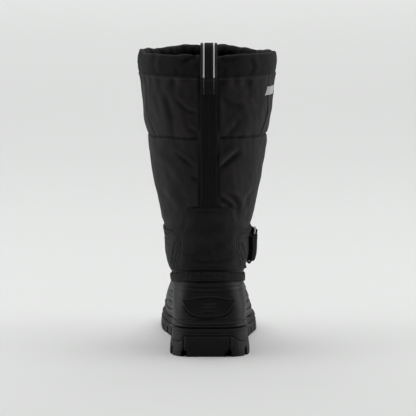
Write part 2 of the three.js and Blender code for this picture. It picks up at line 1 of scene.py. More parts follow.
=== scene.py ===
import bmesh
import bpy
import numpy as np
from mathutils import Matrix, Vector


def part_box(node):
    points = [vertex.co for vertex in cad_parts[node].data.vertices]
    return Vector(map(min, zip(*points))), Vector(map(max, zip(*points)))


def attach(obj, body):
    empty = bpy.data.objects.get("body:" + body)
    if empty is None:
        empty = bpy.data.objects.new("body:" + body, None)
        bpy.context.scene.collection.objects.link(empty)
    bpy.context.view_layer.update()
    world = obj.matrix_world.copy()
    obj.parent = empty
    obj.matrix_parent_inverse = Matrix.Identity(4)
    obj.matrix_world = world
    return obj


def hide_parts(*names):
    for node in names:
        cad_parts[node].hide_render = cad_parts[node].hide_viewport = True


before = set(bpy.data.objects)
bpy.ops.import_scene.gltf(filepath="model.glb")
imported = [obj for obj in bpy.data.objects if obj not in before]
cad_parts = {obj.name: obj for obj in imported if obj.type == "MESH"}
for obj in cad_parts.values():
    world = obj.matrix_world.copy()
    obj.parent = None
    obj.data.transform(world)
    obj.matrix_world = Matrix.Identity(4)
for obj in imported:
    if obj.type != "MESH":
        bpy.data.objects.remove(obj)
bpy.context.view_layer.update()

# ---- Upper ---------------------------------------------------------------------------------------------------
# Padded shaft and foot, sewn from panels of oxford nylon over foam, with a fleece lining: it is lasted over a leg
# and a foot, quilted across the calf, and gathered by the hem at the collar. All the rest is laid on its skin.

sole_low, sole_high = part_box("outsole")
MM = (sole_high.y - sole_low.y) / 305.3

# Level sections of the leg and heel: z, the skin's rearmost and foremost y, half its width, and its middle x.
LEG = np.array([
    [20, -145.9, -50, 38.4, 2.8],
    [40, -146.1, -50, 38.6, 2.8],
    [56, -145.6, -50, 38.6, 2.4],
    [75, -143.4, -48, 37.4, 1.2],
    [88, -141.0, -45, 37.8, 0.4],
    [98, -139.4, -42, 42.4, 0.1],
    [112, -138.2, -38, 45.9, 0],
    [126, -138.0, -33, 46.6, 0],
    [136, -138.4, -29, 47.4, 0],
    [144, -139.0, -26, 49.2, 0],
    [154, -139.6, -22, 51.4, 0],
    [170, -140.4, -19, 54.8, 0],
    [200, -142.0, -18, 60.8, 0],
    [246, -144.2, -16, 68.1, 0],
    [280, -145.8, -13.5, 72.9, 0],
    [300, -146.6, -12, 75.2, 0],
    [312, -146.4, -12, 76.0, 0],
    [320, -147.8, -9.8, 78.2, 0],
    [330, -148.5, -8.6, 79.5, 0],
    [338, -148.2, -9.0, 79.0, 0],
    [344, -146.2, -11.2, 76.8, 0],
])
# Upright sections of the foot: y, middle x, half the width at the sole, and the height of the instep's ridge.
FOOT = np.array([
    [-110, 2.8, 33, 74],
    [-75, 2.8, 34.5, 96],
    [-40, 3.2, 36.5, 112],
    [-10, 3.2, 38.5, 114],
    [20, 2.9, 42.5, 107],
    [45, 2.6, 46, 97.5],
    [65, 2.2, 47.3, 90],
    [85, 1.0, 47.0, 83],
    [105, -1.4, 45.6, 76],
    [125, -4.4, 44, 70],
    [146.1, -7.0, 42.5, 66],
])
FOOT_BACK, FOOT_FRONT = -128, 146.1
ANKLE = np.array([2.8, -62.0])
HEEL_DECK, BALL_DECK = 32, 18.5
HALVINGS = 24


def smooth(low, high, x):
    """0 below `low`, 1 past `high`, and 3s^2 - 2s^3 of the share s of the way in between."""
    s = np.clip((x - low) / (high - low), 0, 1)
    return s * s * (3 - 2 * s)


def bell(d, width):
    """exp(-(d / width)^2): 1 on a line, and next to nothing two widths away from it."""
    return np.exp(-((d / width) ** 2))


def through(knots, values):
    """Cubics between the knots, whose slope at each knot is that of the line between the two knots beside it."""
    k, v = np.asarray(knots, float), np.asarray(values, float)
    before, after = np.maximum(np.arange(len(k)) - 1, 0), np.minimum(np.arange(len(k)) + 1, len(k) - 1)
    slope = (v[after] - v[before]) / (k[after] - k[before])
    x = np.linspace(k[0], k[-1], 2000)
    i = np.clip(np.searchsorted(k, x, side="right") - 1, 0, len(k) - 2)
    step = k[i + 1] - k[i]
    s = (x - k[i]) / step
    y = v[i] * (2 * s**3 - 3 * s * s + 1) + v[i + 1] * (3 * s * s - 2 * s**3)
    y = y + slope[i] * step * (s**3 - 2 * s * s + s) + slope[i + 1] * step * (s**3 - s * s)
    return lambda at: np.interp(at, x, y)


leg_back, leg_front, leg_half, leg_centre = (through(LEG[:, 0], column) for column in LEG[:, 1:].T)
foot_centre, foot_half, foot_ridge = (through(FOOT[:, 0], column) for column in FOOT[:, 1:].T)


def spring(y):
    """The toe's rise off the floor, which grows with the square of the way past the ball of the foot."""
    return 10 * (np.maximum(y - 60, 0) / 92.5) ** 2


def deck(y):
    """Height of the outsole's top: level under heel and ball, an S-curve between, and the toe's rise."""
    return HEEL_DECK + (BALL_DECK - HEEL_DECK) * smooth(-85, 45, y) + spring(y)


def skin(x, y, z):
    """Below zero inside the boot and above it outside: a superellipse in plan for the leg, one in upright section
    for the foot, and the smaller of the two, less a quadratic fillet where they meet over the instep."""
    back, front, half = leg_back(z), leg_front(z), leg_half(z)
    depth = (front - back) / 2
    power = 4 - 1.65 * smooth(50, 95, z) - 0.3 * smooth(95, 170, z)
    across = np.abs(x - leg_centre(z)) / half
    along = np.abs(y - (back + front) / 2) / depth
    leg = ((across**power + along**power) ** (1 / power) - 1) * ((half + depth) / 2)
    toe = np.clip((y - 86) / (FOOT_FRONT - 86), 0, 1)
    toe_top = np.clip((y - 106) / (FOOT_FRONT - 106), 0, 1)
    heel = np.clip((-90 - y) / (-90 - FOOT_BACK), 0, 1)
    wide = foot_half(y) * np.sqrt((1 - toe**2) * (1 - heel**2))
    rise = (foot_ridge(y) - deck(y)) * (1 - toe_top**3) ** (1 / 2.4)
    up = np.maximum(z - deck(y), 0) / np.maximum(rise, 0.5)
    aside = np.abs(x - foot_centre(y) + 4 * np.minimum(up, 1)) / np.maximum(wide, 0.5)
    foot = (np.sqrt(aside**2.4 + up**1.5) - 1) * 45
    foot = np.where(y >= FOOT_FRONT, y - FOOT_FRONT + 1, foot)
    foot = np.where(y <= FOOT_BACK, FOOT_BACK - y + 5, foot)
    fillet = 4 + 30 * smooth(55, 110, z) * smooth(-110, -50, y)
    both = np.maximum(fillet - np.abs(leg - foot), 0)
    return np.minimum(leg, foot) - both * both / (4 * fillet)


def unit(vectors):
    return vectors / np.linalg.norm(vectors, axis=-1, keepdims=True)


def skin_normals(points):
    """Unit slope of skin() by differences 0.4 mm each way along x, y and z, but never past the toe's end."""
    x, y, z = np.moveaxis(points, -1, 0)
    reach = 0.4
    ahead = np.minimum(y + reach, FOOT_FRONT - 0.001)
    along_y = (skin(x, ahead, z) - skin(x, y - reach, z)) * 2 * reach / (ahead - y + reach)
    along_x = skin(x + reach, y, z) - skin(x - reach, y, z)
    along_z = skin(x, y, z + reach) - skin(x, y, z - reach)
    return unit(np.stack([along_x, along_y, along_z], -1))


def skin_lines(height, angles):
    """Where the skin meets the surfaces z = height(y), one row of points for each, at each angle round the ankle: 0
    at the heel, a quarter turn at the outer side, half a turn in front. Each point is found by halving a line."""

    def way_out(x, y, dx, dy):
        length = np.hypot(dx, dy)
        dx, dy = dx / length, dy / length
        inside = np.zeros(np.broadcast_shapes(np.shape(x), np.shape(dx), np.shape(height(y))))
        outside = inside + 260
        for _ in range(HALVINGS):
            middle = (inside + outside) / 2
            within = skin(x + dx * middle, y + dy * middle, height(y + dy * middle)) < 0
            inside, outside = np.where(within, middle, inside), np.where(within, outside, middle)
        return x + dx * inside, y + dy * inside

    back, front = (way_out(*ANKLE, 0.0, way)[1] for way in (-1.0, 1.0))
    middle = (back + front) / 2
    centre = leg_centre(height(middle))
    half = way_out(centre, middle, 1.0, 0.0)[0] - centre
    x, y = way_out(centre, middle, half * np.sin(angles), (back - middle) * np.cos(angles))
    return np.stack([x, y, height(y) + 0 * x], -1)


def level(heights):
    """The level surfaces at these heights, one for each row of a grid."""
    rows = np.asarray(heights, float)[:, None]
    return lambda y: rows + 0 * np.asarray(y)


def between(low, high, shares):
    """Surfaces at these shares of the way from one surface to another, one for each row of a grid."""
    rows = np.asarray(shares, float)[:, None]
    return lambda y: low(y) * (1 - rows) + high(y) * rows


def sloping(back_z, front_z, dip):
    """z runs from back_z at the heel to front_z in front, less a parabola that dips by `dip` halfway."""
    back = skin_lines(level([back_z]), np.zeros(1))[0, 0, 1]
    front = skin_lines(level([front_z]), np.full(1, np.pi))[0, 0, 1]

    def height(y):
        share = np.clip((np.asarray(y) - back) / (front - back), 0, 1)
        return back_z + (front_z - back_z) * share - dip * 4 * share * (1 - share)

    return height


def feather(y):
    """The line where the upper meets the sole."""
    return deck(np.asarray(y)) + 0.8


def above_shell(rise):
    """The surface `rise` above the shell's upper edge, which is highest in front and dips at the ankle."""
    return sloping(88 + rise, 95 + rise, 11)


def noise(points, wavelength, seed, upright=1.0):
    """Smooth relief of about -1 to 1 through space: sines of many directions, with wavelengths near the one given,
    and longer ones up and down where `upright` is below 1."""
    rng = np.random.default_rng(seed)
    count = 14
    ways = unit(rng.normal(size=(count, 3))) * [1, 1, upright]
    pace = 2 * np.pi / wavelength * rng.uniform(0.6, 1.5, count)
    phase = rng.uniform(0, 2 * np.pi, count)
    return sum(np.sin(points @ way * p + f) for way, p, f in zip(ways, pace, phase)) / np.sqrt(count)


def reached(path):
    """How far along a path each of its points is."""
    return np.concatenate([[0], np.cumsum(np.linalg.norm(np.diff(path, axis=0), axis=1))])


def resample(path, at, values=None):
    """The path's points, or other values along it, at distances along it."""
    values = path if values is None else values
    return np.stack([np.interp(at, reached(path), column) for column in values.T], -1)


def inward(shares):
    """The share of a width between a point and the nearer edge."""
    return np.minimum(shares, 1 - shares)


def crease(u, v, path, width, trough=0.0, step=0.0):
    """Relief along a path of (u, v) points, as a function of the signed distance d to it: a trough exp(-(d/w)^2),
    and a step that stands up on the path's left and sinks on its right, as d/w exp((1 - (d/w)^2) / 2). It fades in
    and out over the path's ends."""
    path = np.asarray(path, float)
    ends = reached(path)
    nearest, signed, travelled = np.full(u.shape, 1e9), np.zeros(u.shape), np.zeros(u.shape)
    for (au, av), (bu, bv), start in zip(path[:-1], path[1:], ends):
        du, dv = bu - au, bv - av
        length = np.hypot(du, dv)
        share = ((u - au) * du + (v - av) * dv) / length**2
        held = np.clip(share, 0, 1)
        far = np.hypot(u - au - held * du, v - av - held * dv)
        side = np.sign(du * (v - av) - dv * (u - au))
        closer = far < nearest
        nearest = np.where(closer, far, nearest)
        signed = np.where(closer, far * side, signed)
        travelled = np.where(closer, start + share * length, travelled)
    fade = smooth(-0.05, 0.3, travelled / ends[-1]) * smooth(1.05, 0.7, travelled / ends[-1])
    d = signed / width
    return fade * (step * d * np.exp((1 - d * d) / 2) - trough * bell(signed, width))


def wear_and_shade_of(relief, depth, reach=3):
    """How each point of a closed grid stands to the mean of its neighbours: a half where it is level with them, up to
    1 on a ridge that is rubbed, and down to 0 in a hollow `depth` millimetres deep, which the materials fill with
    near-black painted shade."""
    mean = relief
    for step in range(1, reach + 1):
        near = [np.roll(mean, way * step, axis) for way in (-1, 1) for axis in (0, 1)]
        mean = (mean + sum(near)) / 5
    return np.clip(0.5 + (relief - mean) / (2 * depth), 0, 1)


def quads(index):
    """The four corners of each cell of a grid of point numbers, counter-clockwise seen from outside the boot."""
    cells = [index[:-1, :-1], index[:-1, 1:], index[1:, 1:], index[1:, :-1]]
    return np.stack(cells, -1).reshape(-1, 4)


def lay_grid(points):
    """Lengths in millimetres along the rows and up the columns of a grid of points, for its UV map."""
    along = np.linalg.norm(np.diff(points, axis=1), axis=-1)
    up = np.linalg.norm(np.diff(points, axis=0), axis=-1)
    u = np.concatenate([np.zeros((len(points), 1)), np.cumsum(along, axis=1)], axis=1)
    v = np.concatenate([np.zeros((1, points.shape[1])), np.cumsum(up, axis=0)], axis=0)
    return np.stack([u - u[:, -1:] / 2, v], -1)


def merge(piece):
    """Joins the points that two edges share, and closes what is still open with a flat end."""
    work = bmesh.new()
    work.from_mesh(piece.data)
    bmesh.ops.remove_doubles(work, verts=work.verts, dist=2e-6)
    open_edges = [edge for edge in work.edges if edge.is_boundary]
    for end in bmesh.ops.holes_fill(work, edges=open_edges, sides=0)["faces"]:
        end.smooth = False
        for edge in end.edges:
            edge.smooth = False
    work.to_mesh(piece.data)
    work.free()


def placed(name, mesh, stands_for=()):
    """The object of a mesh, riding on the boot and the solids that it stands for."""
    piece = bpy.data.objects.new(name, mesh)
    bpy.context.scene.collection.objects.link(piece)
    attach(piece, "root")
    if stands_for:
        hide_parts(*stands_for)
    return piece


def make_piece(name, points, faces, lay, finishes, stands_for=(), wear=None, finish_of=None):
    """A mesh piece, in metres from millimetres. `lay` is the place of each face's corners in the flat cloth, in
    millimetres, `wear` each point's wear and painted hollow shade, and `finish_of` the number of each face's finish."""
    mesh = bpy.data.meshes.new(name)
    mesh.vertices.add(len(points))
    mesh.vertices.foreach_set("co", (points * MM).astype(np.float32).ravel())
    mesh.loops.add(faces.size)
    mesh.loops.foreach_set("vertex_index", faces.astype(np.int32).ravel())
    mesh.polygons.add(len(faces))
    mesh.polygons.foreach_set("loop_start", np.arange(len(faces), dtype=np.int32) * 4)
    mesh.polygons.foreach_set("loop_total", np.full(len(faces), 4, np.int32))
    mesh.polygons.foreach_set("use_smooth", np.ones(len(faces), bool))
    if finish_of is not None:
        mesh.polygons.foreach_set("material_index", finish_of.astype(np.int32))
    mesh.update(calc_edges=True)
    mesh.uv_layers.new(name="flat").data.foreach_set("uv", lay.astype(np.float32).ravel())
    wear = np.full(len(points), 0.5) if wear is None else wear
    # The wear attribute: above a half it is rubbed wear on ridges, below a half painted shade in hollows.
    mesh.attributes.new("wear", "FLOAT", "POINT").data.foreach_set("value", wear.astype(np.float32).ravel())
    for finish in finishes:
        mesh.materials.append(finish)
    return placed(name, mesh, stands_for)


def grid_piece(
    name, points, finishes, stands_for=(), around=False, over=True, wear=None, finish_of=None, turned=False
):
    """A piece from a grid of points. `around` joins its last column to the first, and `over` its last row to the
    first; where only one of them holds, shared points are merged and open ends closed. `turned` lays the cloth
    across instead of along."""
    number = np.arange(points.shape[0] * points.shape[1]).reshape(points.shape[:2])
    if around:
        number = np.concatenate([number, number[:, :1]], axis=1)
    if over:
        number = np.concatenate([number, number[:1]], axis=0)
    flat_place = lay_grid(points.reshape(-1, 3)[number]).reshape(-1, 2)
    lay = flat_place[quads(np.arange(number.size).reshape(number.shape))]
    lay = lay[..., ::-1] if turned else lay
    faces = quads(number)
    piece = make_piece(name, points.reshape(-1, 3), faces, lay, finishes, stands_for, wear, finish_of)
    if not (around and over):
        merge(piece)
    return piece


class Signal:
    """A number worked out by a material's nodes. Sums and products of signals add the Math nodes that give them."""

    def __init__(self, finish, socket):
        self.finish, self.socket = finish, socket

    def math(self, operation, *others, clamp=False):
        return self.finish.node("Math", {"operation": operation, "use_clamp": clamp}, self, *others)

    def __add__(self, other):
        return self.math("ADD", other)

    def __sub__(self, other):
        return self.math("SUBTRACT", other)

    def __rsub__(self, other):
        return self.finish.node("Math", {"operation": "SUBTRACT"}, other, self)

    def __mul__(self, other):
        return self.math("MULTIPLY", other)

    __radd__, __rmul__ = __add__, __mul__

    def between(self, low, high):
        """0 at `low`, 1 at `high`, with soft ends."""
        settings = {"interpolation_type": "SMOOTHSTEP"}
        return self.finish.node("MapRange", settings, Value=self, **{"From Min": low, "From Max": high})

    def wave(self, length, phase=0.0):
        """A sine of the signal, from 0 to 1, that repeats each `length`."""
        return (self * (2 * np.pi / length) + phase).math("SINE") * 0.5 + 0.5


class Finish:
    """A procedural material: node() makes every node, and wear() joins the results to the shader."""

    def __init__(self, name, **shader):
        self.material = bpy.data.materials.new(name)
        self.material.use_nodes = True
        self.tree = self.material.node_tree
        self.tree.nodes.clear()
        self.shader = self.tree.nodes.new("ShaderNodeBsdfPrincipled")
        output = self.tree.nodes.new("ShaderNodeOutputMaterial")
        self.tree.links.new(self.shader.outputs[0], output.inputs[0])
        for socket, value in shader.items():
            self.shader.inputs[socket.replace("_", " ")].default_value = value

    def node(self, kind, settings=None, *inputs, out=0, **named):
        """A node of a type, with its settings, then its inputs in order or by name: values or signals."""
        made = self.tree.nodes.new("ShaderNode" + kind)
        for key, value in (settings or {}).items():
            setattr(made, key, value)
        self.feed(made, dict([*enumerate(inputs), *named.items()]))
        return Signal(self, made.outputs[out])

    def feed(self, node, inputs):
        """Links a signal to each of a node's inputs, or sets it to a value; None leaves it as it is."""
        for key, value in inputs.items():
            if isinstance(value, Signal):
                self.tree.links.new(value.socket, node.inputs[key])
            elif value is not None:
                node.inputs[key].default_value = value

    def place(self):
        """Object coordinates in millimetres."""
        where = self.node("TexCoord", out="Object")
        return self.node("VectorMath", {"operation": "SCALE"}, where, Scale=1000.0)

    def flat_place(self):
        """The place in the flat cloth, in millimetres, then its two coordinates."""
        lie = self.node("TexCoord", out="UV")
        split = self.node("SeparateXYZ", None, lie)
        return lie, split, Signal(self, split.socket.node.outputs[1])

    def stretched(self, place, scales):
        return self.node("VectorMath", {"operation": "MULTIPLY"}, place, scales)

    def cloud(self, place, size, detail=2.0, roughness=0.5, distortion=0.0):
        """Noise from 0 to 1 with patches about `size` millimetres across."""
        named = {"Scale": 1 / size, "Detail": detail, "Roughness": roughness, "Distortion": distortion}
        return self.node("TexNoise", None, Vector=place, **named)

    def blend(self, share, dark, light):
        """A colour between two, which may be signals themselves."""
        made = self.node("Mix", {"data_type": "RGBA"}, share, out=2)
        colours = [value if isinstance(value, Signal) else (*value, 1) for value in (dark, light)]
        self.feed(made.socket.node, dict(zip((6, 7), colours)))
        return made

    def worn_and_shaded(self, share, dark, light, strength=1.2, hollow_shade=(0.0015, 0.0015, 0.0015)):
        """A colour between two that goes lighter on the piece's rubbed ridges, and painted shade that takes it almost
        black in its hollows.
        """
        wear = self.node("Attribute", {"attribute_name": "wear"}, out=2)
        colour = self.blend((share + (wear - 0.5) * strength).between(0.0, 1.0), dark, light)
        # Painted shade: where the wear attribute falls below a half, the colour goes towards near black.
        return self.blend((0.5 - wear).math("MULTIPLY", 1.7, clamp=True), colour, hollow_shade)

    def relief(self, height, depth, under=None):
        """A bump `depth` millimetres high where the height is 1, over another bump."""
        return self.node("Bump", None, Height=height, Distance=depth / 1000, Normal=under)

    def wear(self, colour=None, roughness=None, normal=None):
        """The finished material."""
        self.feed(self.shader, {"Base Color": colour, "Roughness": roughness, "Normal": normal})
        return self.material


STITCH_SINK = 0.15


def stitches(name, runs, pitch, thick=0.42):
    """Thread sewn along runs of (points, normals): each stitch is a five-sided tapered roll three quarters of the
    pitch long, which arches out of the cloth by its thickness and sinks into it at both ends."""
    share = np.array([0.0, 0.18, 0.5, 0.82, 1.0])
    swell = np.array([0.35, 0.9, 1.0, 0.9, 0.35])
    turn = np.arange(5) * 2 * np.pi / 5
    rolls = []
    for points, normals in runs:
        starts = np.arange(pitch * 0.2, reached(points)[-1] - pitch * 0.8, pitch)
        at = starts[:, None] + share * pitch * 0.76
        middle, up = resample(points, at), resample(points, at, normals)
        aside = np.cross(unit(middle[:, -1:] - middle[:, :1]), up)
        middle = middle + up * (np.sin(np.pi * share) * thick - STITCH_SINK)[:, None]
        out = aside[:, :, None] * np.cos(turn)[:, None] + up[:, :, None] * np.sin(turn)[:, None]
        rolls.append(middle[:, :, None] + out * (swell * thick)[:, None, None])
    rolls = np.concatenate(rolls)
    count = len(rolls)
    number = np.arange(count * 25).reshape(count, 5, 5)
    ring = np.concatenate([number, number[:, :, :1]], axis=2)
    corners = [ring[:, :-1, :-1], ring[:, 1:, :-1], ring[:, 1:, 1:], ring[:, :-1, 1:]]
    sides = np.stack(corners, -1).reshape(-1, 4)
    first, last = number[:, 0], number[:, 4]
    four_sided = [sides, first[:, [2, 3, 4, 0]], last[:, [3, 2, 1, 0]]]
    three_sided = [first[:, [0, 1, 2]], last[:, [0, 4, 3]]]
    faces = [face for sheet in four_sided + three_sided for face in sheet.tolist()]
    mesh = bpy.data.meshes.new(name)
    mesh.from_pydata((rolls.reshape(-1, 3) * MM).tolist(), [], faces)
    mesh.polygons.foreach_set("use_smooth", np.ones(len(mesh.polygons), bool))
    mesh.materials.append(THREAD)
    placed(name, mesh)


# The shaft's rows: up its outer face, over the collar, down inside to the sole. Each has a height, the distance
# that its points stand off the skin, and a lift.
HEM_SEAM, QUILT_SEAM = 319.0, 249.3
COLLAR = 340.5
def runs_of(*stretches):
    """Even steps in each stretch: its start, its end and its count."""
    return np.concatenate([np.linspace(*stretch) for stretch in stretches])


FOOT_Z = 32.8
outside_z = runs_of((FOOT_Z, 126, 12), (128, 317, 150), (318, COLLAR, 24))
roll = np.linspace(0, np.pi, 13)[1:]
inside_z = runs_of((COLLAR - 2, 318, 12), (315, 160, 26), (152, FOOT_Z, 20))
row_z = np.concatenate([outside_z, np.full(len(roll), COLLAR), inside_z])
wall = 5 + 1.5 * smooth(130, 158, inside_z) + 3.4 * smooth(314, 324, inside_z)
row_off = np.concatenate([0 * outside_z, -4.6 * (1 - np.cos(roll)), -wall])
row_lift = np.concatenate([0 * outside_z, 4.4 * np.sin(roll), 0 * inside_z])
UPPER_COLUMNS = 288


BACK_MIDDLE = 1.9


def rear(y):
    """1 behind the ankle and 0 in front of it."""
    return smooth(-72, -92, y)


def quilt_line(x, y):
    """Height of the seam across the calf."""
    return QUILT_SEAM + 0.6 * np.sin(x / 17) - 2.5 * smooth(-45, -64, x) * rear(y)


def creased(u, v, folds):
    """The relief of several creases together, each given as its path, width, trough and step."""
    return sum(crease(u, v, *fold) for fold in folds)


def shaft_height(y):
    """Level above the ankle; lower down the rows lean over more and more, to follow the sole's edge at the foot."""
    lean = np.clip((158 - row_z) / (158 - FOOT_Z), 0, 1)[:, None]
    return row_z[:, None] + lean * (feather(y) - FOOT_Z)


round_angles = np.arange(UPPER_COLUMNS) * 2 * np.pi / UPPER_COLUMNS
shaft_skin = skin_lines(shaft_height, round_angles)
shaft_normals = skin_normals(shaft_skin)
x, y, z = np.moveaxis(shaft_skin, -1, 0)
inside_row = (np.arange(len(row_z)) >= len(outside_z) + len(roll) / 2)[:, None]
behind = rear(y)
ahead = 1 - behind

# Panels of foam swell between the seams; cloth is drawn in at each seam and puckers beside it.
seam_away = np.abs(z - quilt_line(x, y))
quilt = 1.5 * (1 - bell(seam_away, 9)) - 2.0 * bell(seam_away, 1.2) - 0.4
pucker = noise(shaft_skin, 9, 3, 0.5) * np.exp(-seam_away / 7) * 0.35
low_quilt = np.abs(z - 200 - 3 * np.sin(x / 30)) + 60 * behind
quilt = quilt - 1.1 * bell(low_quilt, 1.3) - 0.5 * bell(low_quilt, 6)
side_line = np.interp(z, [150, 249, 262, 275, 292, 318], [-88, -113, -108, -104.5, -109, -111])
side_away = np.abs(y - side_line) + 40 * smooth(249, 246, z)
side_seam = (0.35 + 0.65 * smooth(-20, 20, x)) * 0.7 * bell(y - side_line - 4, 3.5) * smooth(246, 252, z)
side_seam = side_seam - (0.45 + 0.65 * smooth(-20, 20, x)) * bell(side_away, 1.2)

# The creases that the calf's cloth has taken behind: an (x, z) path, then its width, trough and step.
CREASES = [
    ([(9, 213.6), (23.6, 225.9), (36.5, 236.0)], 3.3, 0.9, 2.0),
    ([(-37, 233.5), (-24, 224), (-13, 214.5)], 2.2, 0.8, 0.5),
    ([(-18, 206), (-5, 199.6)], 2.2, 0.8, 0.5),
    ([(32, 166), (26.3, 173.2), (9, 185.5)], 2.6, 1.6, -1.2),
    ([(22, 189), (32, 181), (36.6, 172), (37.8, 156)], 3.0, 0.2, 1.3),
    ([(56, 190), (46.5, 181.6), (42, 175.5), (39, 162)], 2.6, 0.9, -0.6),
    ([(-38, 297), (-22.9, 282), (-6, 277.5)], 2.2, 0.7, 0.5),
    ([(-51, 304), (-46.7, 287), (-43.3, 273.5), (-39.5, 252)], 3.2, 0.2, -0.8),
    ([(51, 316), (47.5, 309), (48.5, 292)], 2.6, 0.8, 0.3),
    ([(-24, 263), (-14, 258), (-6, 251)], 2.4, 0.3, 0.5),
    ([(18, 252), (30, 262), (38, 276)], 3.2, 0.2, 0.5),
    ([(-60, 225), (-46, 214), (-34, 196)], 4.0, 0.2, 0.5),
    ([(-52, 190), (-40, 176), (-34, 158)], 3.4, 0.4, 0.6),
    ([(15, 300), (26, 290), (44, 286)], 3.4, 0.2, 0.5),
]
folds = creased(x, z, CREASES) * behind
FRONT_CREASES = [
    ([(-46, 172), (-18, 164), (20, 166), (46, 175)], 3.6, 0.9, 0.9),
    ([(-40, 190), (-10, 183), (30, 188)], 3.8, 0.7, 0.8),
    ([(34, 214), (8, 207), (-22, 211)], 4.0, 0.4, 0.7),
    ([(-50, 236), (-30, 228), (-8, 230)], 3.6, 0.4, 0.6),
    ([(52, 262), (30, 270), (12, 290)], 3.6, 0.3, 0.6),
    ([(-54, 300), (-36, 284), (-30, 262)], 3.6, 0.3, 0.7),
    ([(8, 312), (14, 296), (10, 276)], 3.2, 0.3, 0.5),
]
folds = folds + creased(x, z, FRONT_CREASES) * ahead
drape = 0.45 * noise(shaft_skin, 34, 11) + 0.16 * noise(shaft_skin, 13, 12)
below_hem = np.exp(-np.abs(z - 313) / 9) * noise(shaft_skin, 15, 21, 0.25) * 0.8

# Everything dies away under the webbing, the counter and the ankle's leatherette.
stay_clear = 1 - smooth(13.5, 10.5, np.abs(x - BACK_MIDDLE)) * behind
counter_half = np.interp(z, [140, 149, 160, 165, 169.5, 171], [34, 31.5, 29, 28, 23, 0])
counter_clear = 1 - smooth(-0.5, -3.5, np.abs(x) - counter_half) * behind
free = smooth(143, 153, z) * stay_clear * np.where(z < 172, counter_clear, 1)
shaft_relief = free * (quilt + pucker + side_seam + folds + drape)
shaft_relief = shaft_relief + stay_clear * below_hem * smooth(290, 300, z)
shaft_relief = np.where(free < 0.999, np.minimum(shaft_relief, 0.25 + 3 * free), shaft_relief)

# The hem: a padded tube, gathered all round.
hem = smooth(318, 322, z)
gathers = noise(shaft_skin, 19, 31, 0.3) * (0.4 + 0.5 * smooth(330, 341, z)) + 0.2 * noise(shaft_skin, 7, 32)
HEM_CREASES = [
    ([(-31, 336.5), (-19, 341.0), (-8, 344)], 2.4, 0.9, 1.2),
    ([(-16, 344), (-10, 338), (-8, 330)], 2.2, 0.4, 0.8),
    ([(13, 342), (22, 338.5), (36, 341)], 2.2, 0.9, 0.8),
    ([(49, 344), (54, 329), (49, 317)], 2.6, 1.0, 0.5),
    ([(-58, 343), (-60, 330), (-57, 320)], 2.6, 0.7, 0.4),
    ([(24, 330), (20, 324), (19, 318)], 2.6, 0.6, 0.3),
    ([(-36, 331), (-33, 324), (-34, 318)], 2.4, 0.6, 0.3),
]
hem_folds = creased(x, z, HEM_CREASES) * behind
hem_relief = stay_clear * (gathers * (0.5 + 0.5 * ahead) + hem_folds) - 1.7 * bell(z - HEM_SEAM, 1.5)
inner_hem = -1.3 * noise(shaft_skin, 11, 41, 0.2) * smooth(312, 322, z) - 0.5 * noise(shaft_skin, 26, 42)
relief = np.where(inside_row, inner_hem, shaft_relief * (1 - hem) + hem_relief * hem)
rim = smooth(331, 341, z)
droop = -3.4 * smooth(30, 62, x) * smooth(-92, -40, y)
droop = droop + 0.9 * noise(shaft_skin, 42, 51, 0) + 0.5 * noise(shaft_skin, 15, 52, 0)
shaft = shaft_skin + shaft_normals * (row_off[:, None] + relief)[..., None]
shaft[..., 2] += row_lift[:, None] + rim * droop


def on_shaft(angles, heights, off):
    """Points and normals of the finished shaft above its ankle, between the nearest points of its grid: `off`
    outside the place at each angle and height."""
    angles, heights = np.broadcast_arrays(np.asarray(angles, float), np.asarray(heights, float))
    row = np.clip(np.interp(heights, outside_z, np.arange(len(outside_z))), 0, len(outside_z) - 1.001)
    column = np.mod(angles * UPPER_COLUMNS / (2 * np.pi), UPPER_COLUMNS)
    i, j = row.astype(int), column.astype(int) % UPPER_COLUMNS
    a, b = (row - i)[..., None], (column - np.floor(column))[..., None]
    k = (j + 1) % UPPER_COLUMNS
    low = shaft[i, j] * (1 - b) + shaft[i, k] * b
    high = shaft[i + 1, j] * (1 - b) + shaft[i + 1, k] * b
    points = low * (1 - a) + high * a
    normals = skin_normals(points)
    return points + normals * off, normals


def oxford(name, dark, light, rough, shine, sheen):
    """Woven nylon: a plain weave 0.6 mm a thread, yarns that differ a little, and broad uneven dye."""
    cloth = Finish(name, Roughness=rough, Specular_IOR_Level=shine, Sheen_Weight=sheen)
    (lie, u, v), place = cloth.flat_place(), cloth.place()
    weave = (u.wave(1.2) - 0.5) * (v.wave(1.2) - 0.5) * 2 + 0.5
    ways = ((2.2, 0.16, 1), (0.16, 2.2, 1))
    yarn_u, yarn_v = (cloth.cloud(cloth.stretched(lie, way), 1.0, 1) for way in ways)
    patches = cloth.cloud(place, 26, 3)
    speckle = cloth.cloud(place, 1.6, 2, 0.7)
    share = (yarn_u + yarn_v) * 0.5 + weave * 0.25 + patches * 0.4 + speckle * 0.7 - 0.75
    colour = cloth.worn_and_shaded(share, dark, light)
    slubs = cloth.relief(yarn_u + yarn_v, 0.1)
    return cloth.wear(colour, speckle * 0.14 + (rough - 0.07), cloth.relief(weave, 0.12, slubs))


def pile(name, dark, light, size, detail, swirl, top, depth):
    """Fleece or felt: tufts `size` millimetres across, dark between and lighter on top."""
    fur = Finish(name, Roughness=0.95, Specular_IOR_Level=0.2)
    tufts = fur.cloud(fur.place(), size, detail, 0.7, swirl)
    return fur.wear(fur.blend(tufts.between(0.3, top), dark, light), None, fur.relief(tufts, depth))


NYLON = oxford("nylon_oxford", (0.007, 0.0062, 0.0064), (0.0228, 0.0185, 0.019), 0.8, 0.2, 0.08)
HEM_CLOTH = oxford("nylon_hem", (0.005, 0.0048, 0.005), (0.0125, 0.012, 0.0125), 0.8, 0.18, 0.03)
FLEECE = pile("fleece_lining", (0.006, 0.006, 0.006), (0.018, 0.0175, 0.018), 2.2, 4, 1.2, 0.75, 1.0)

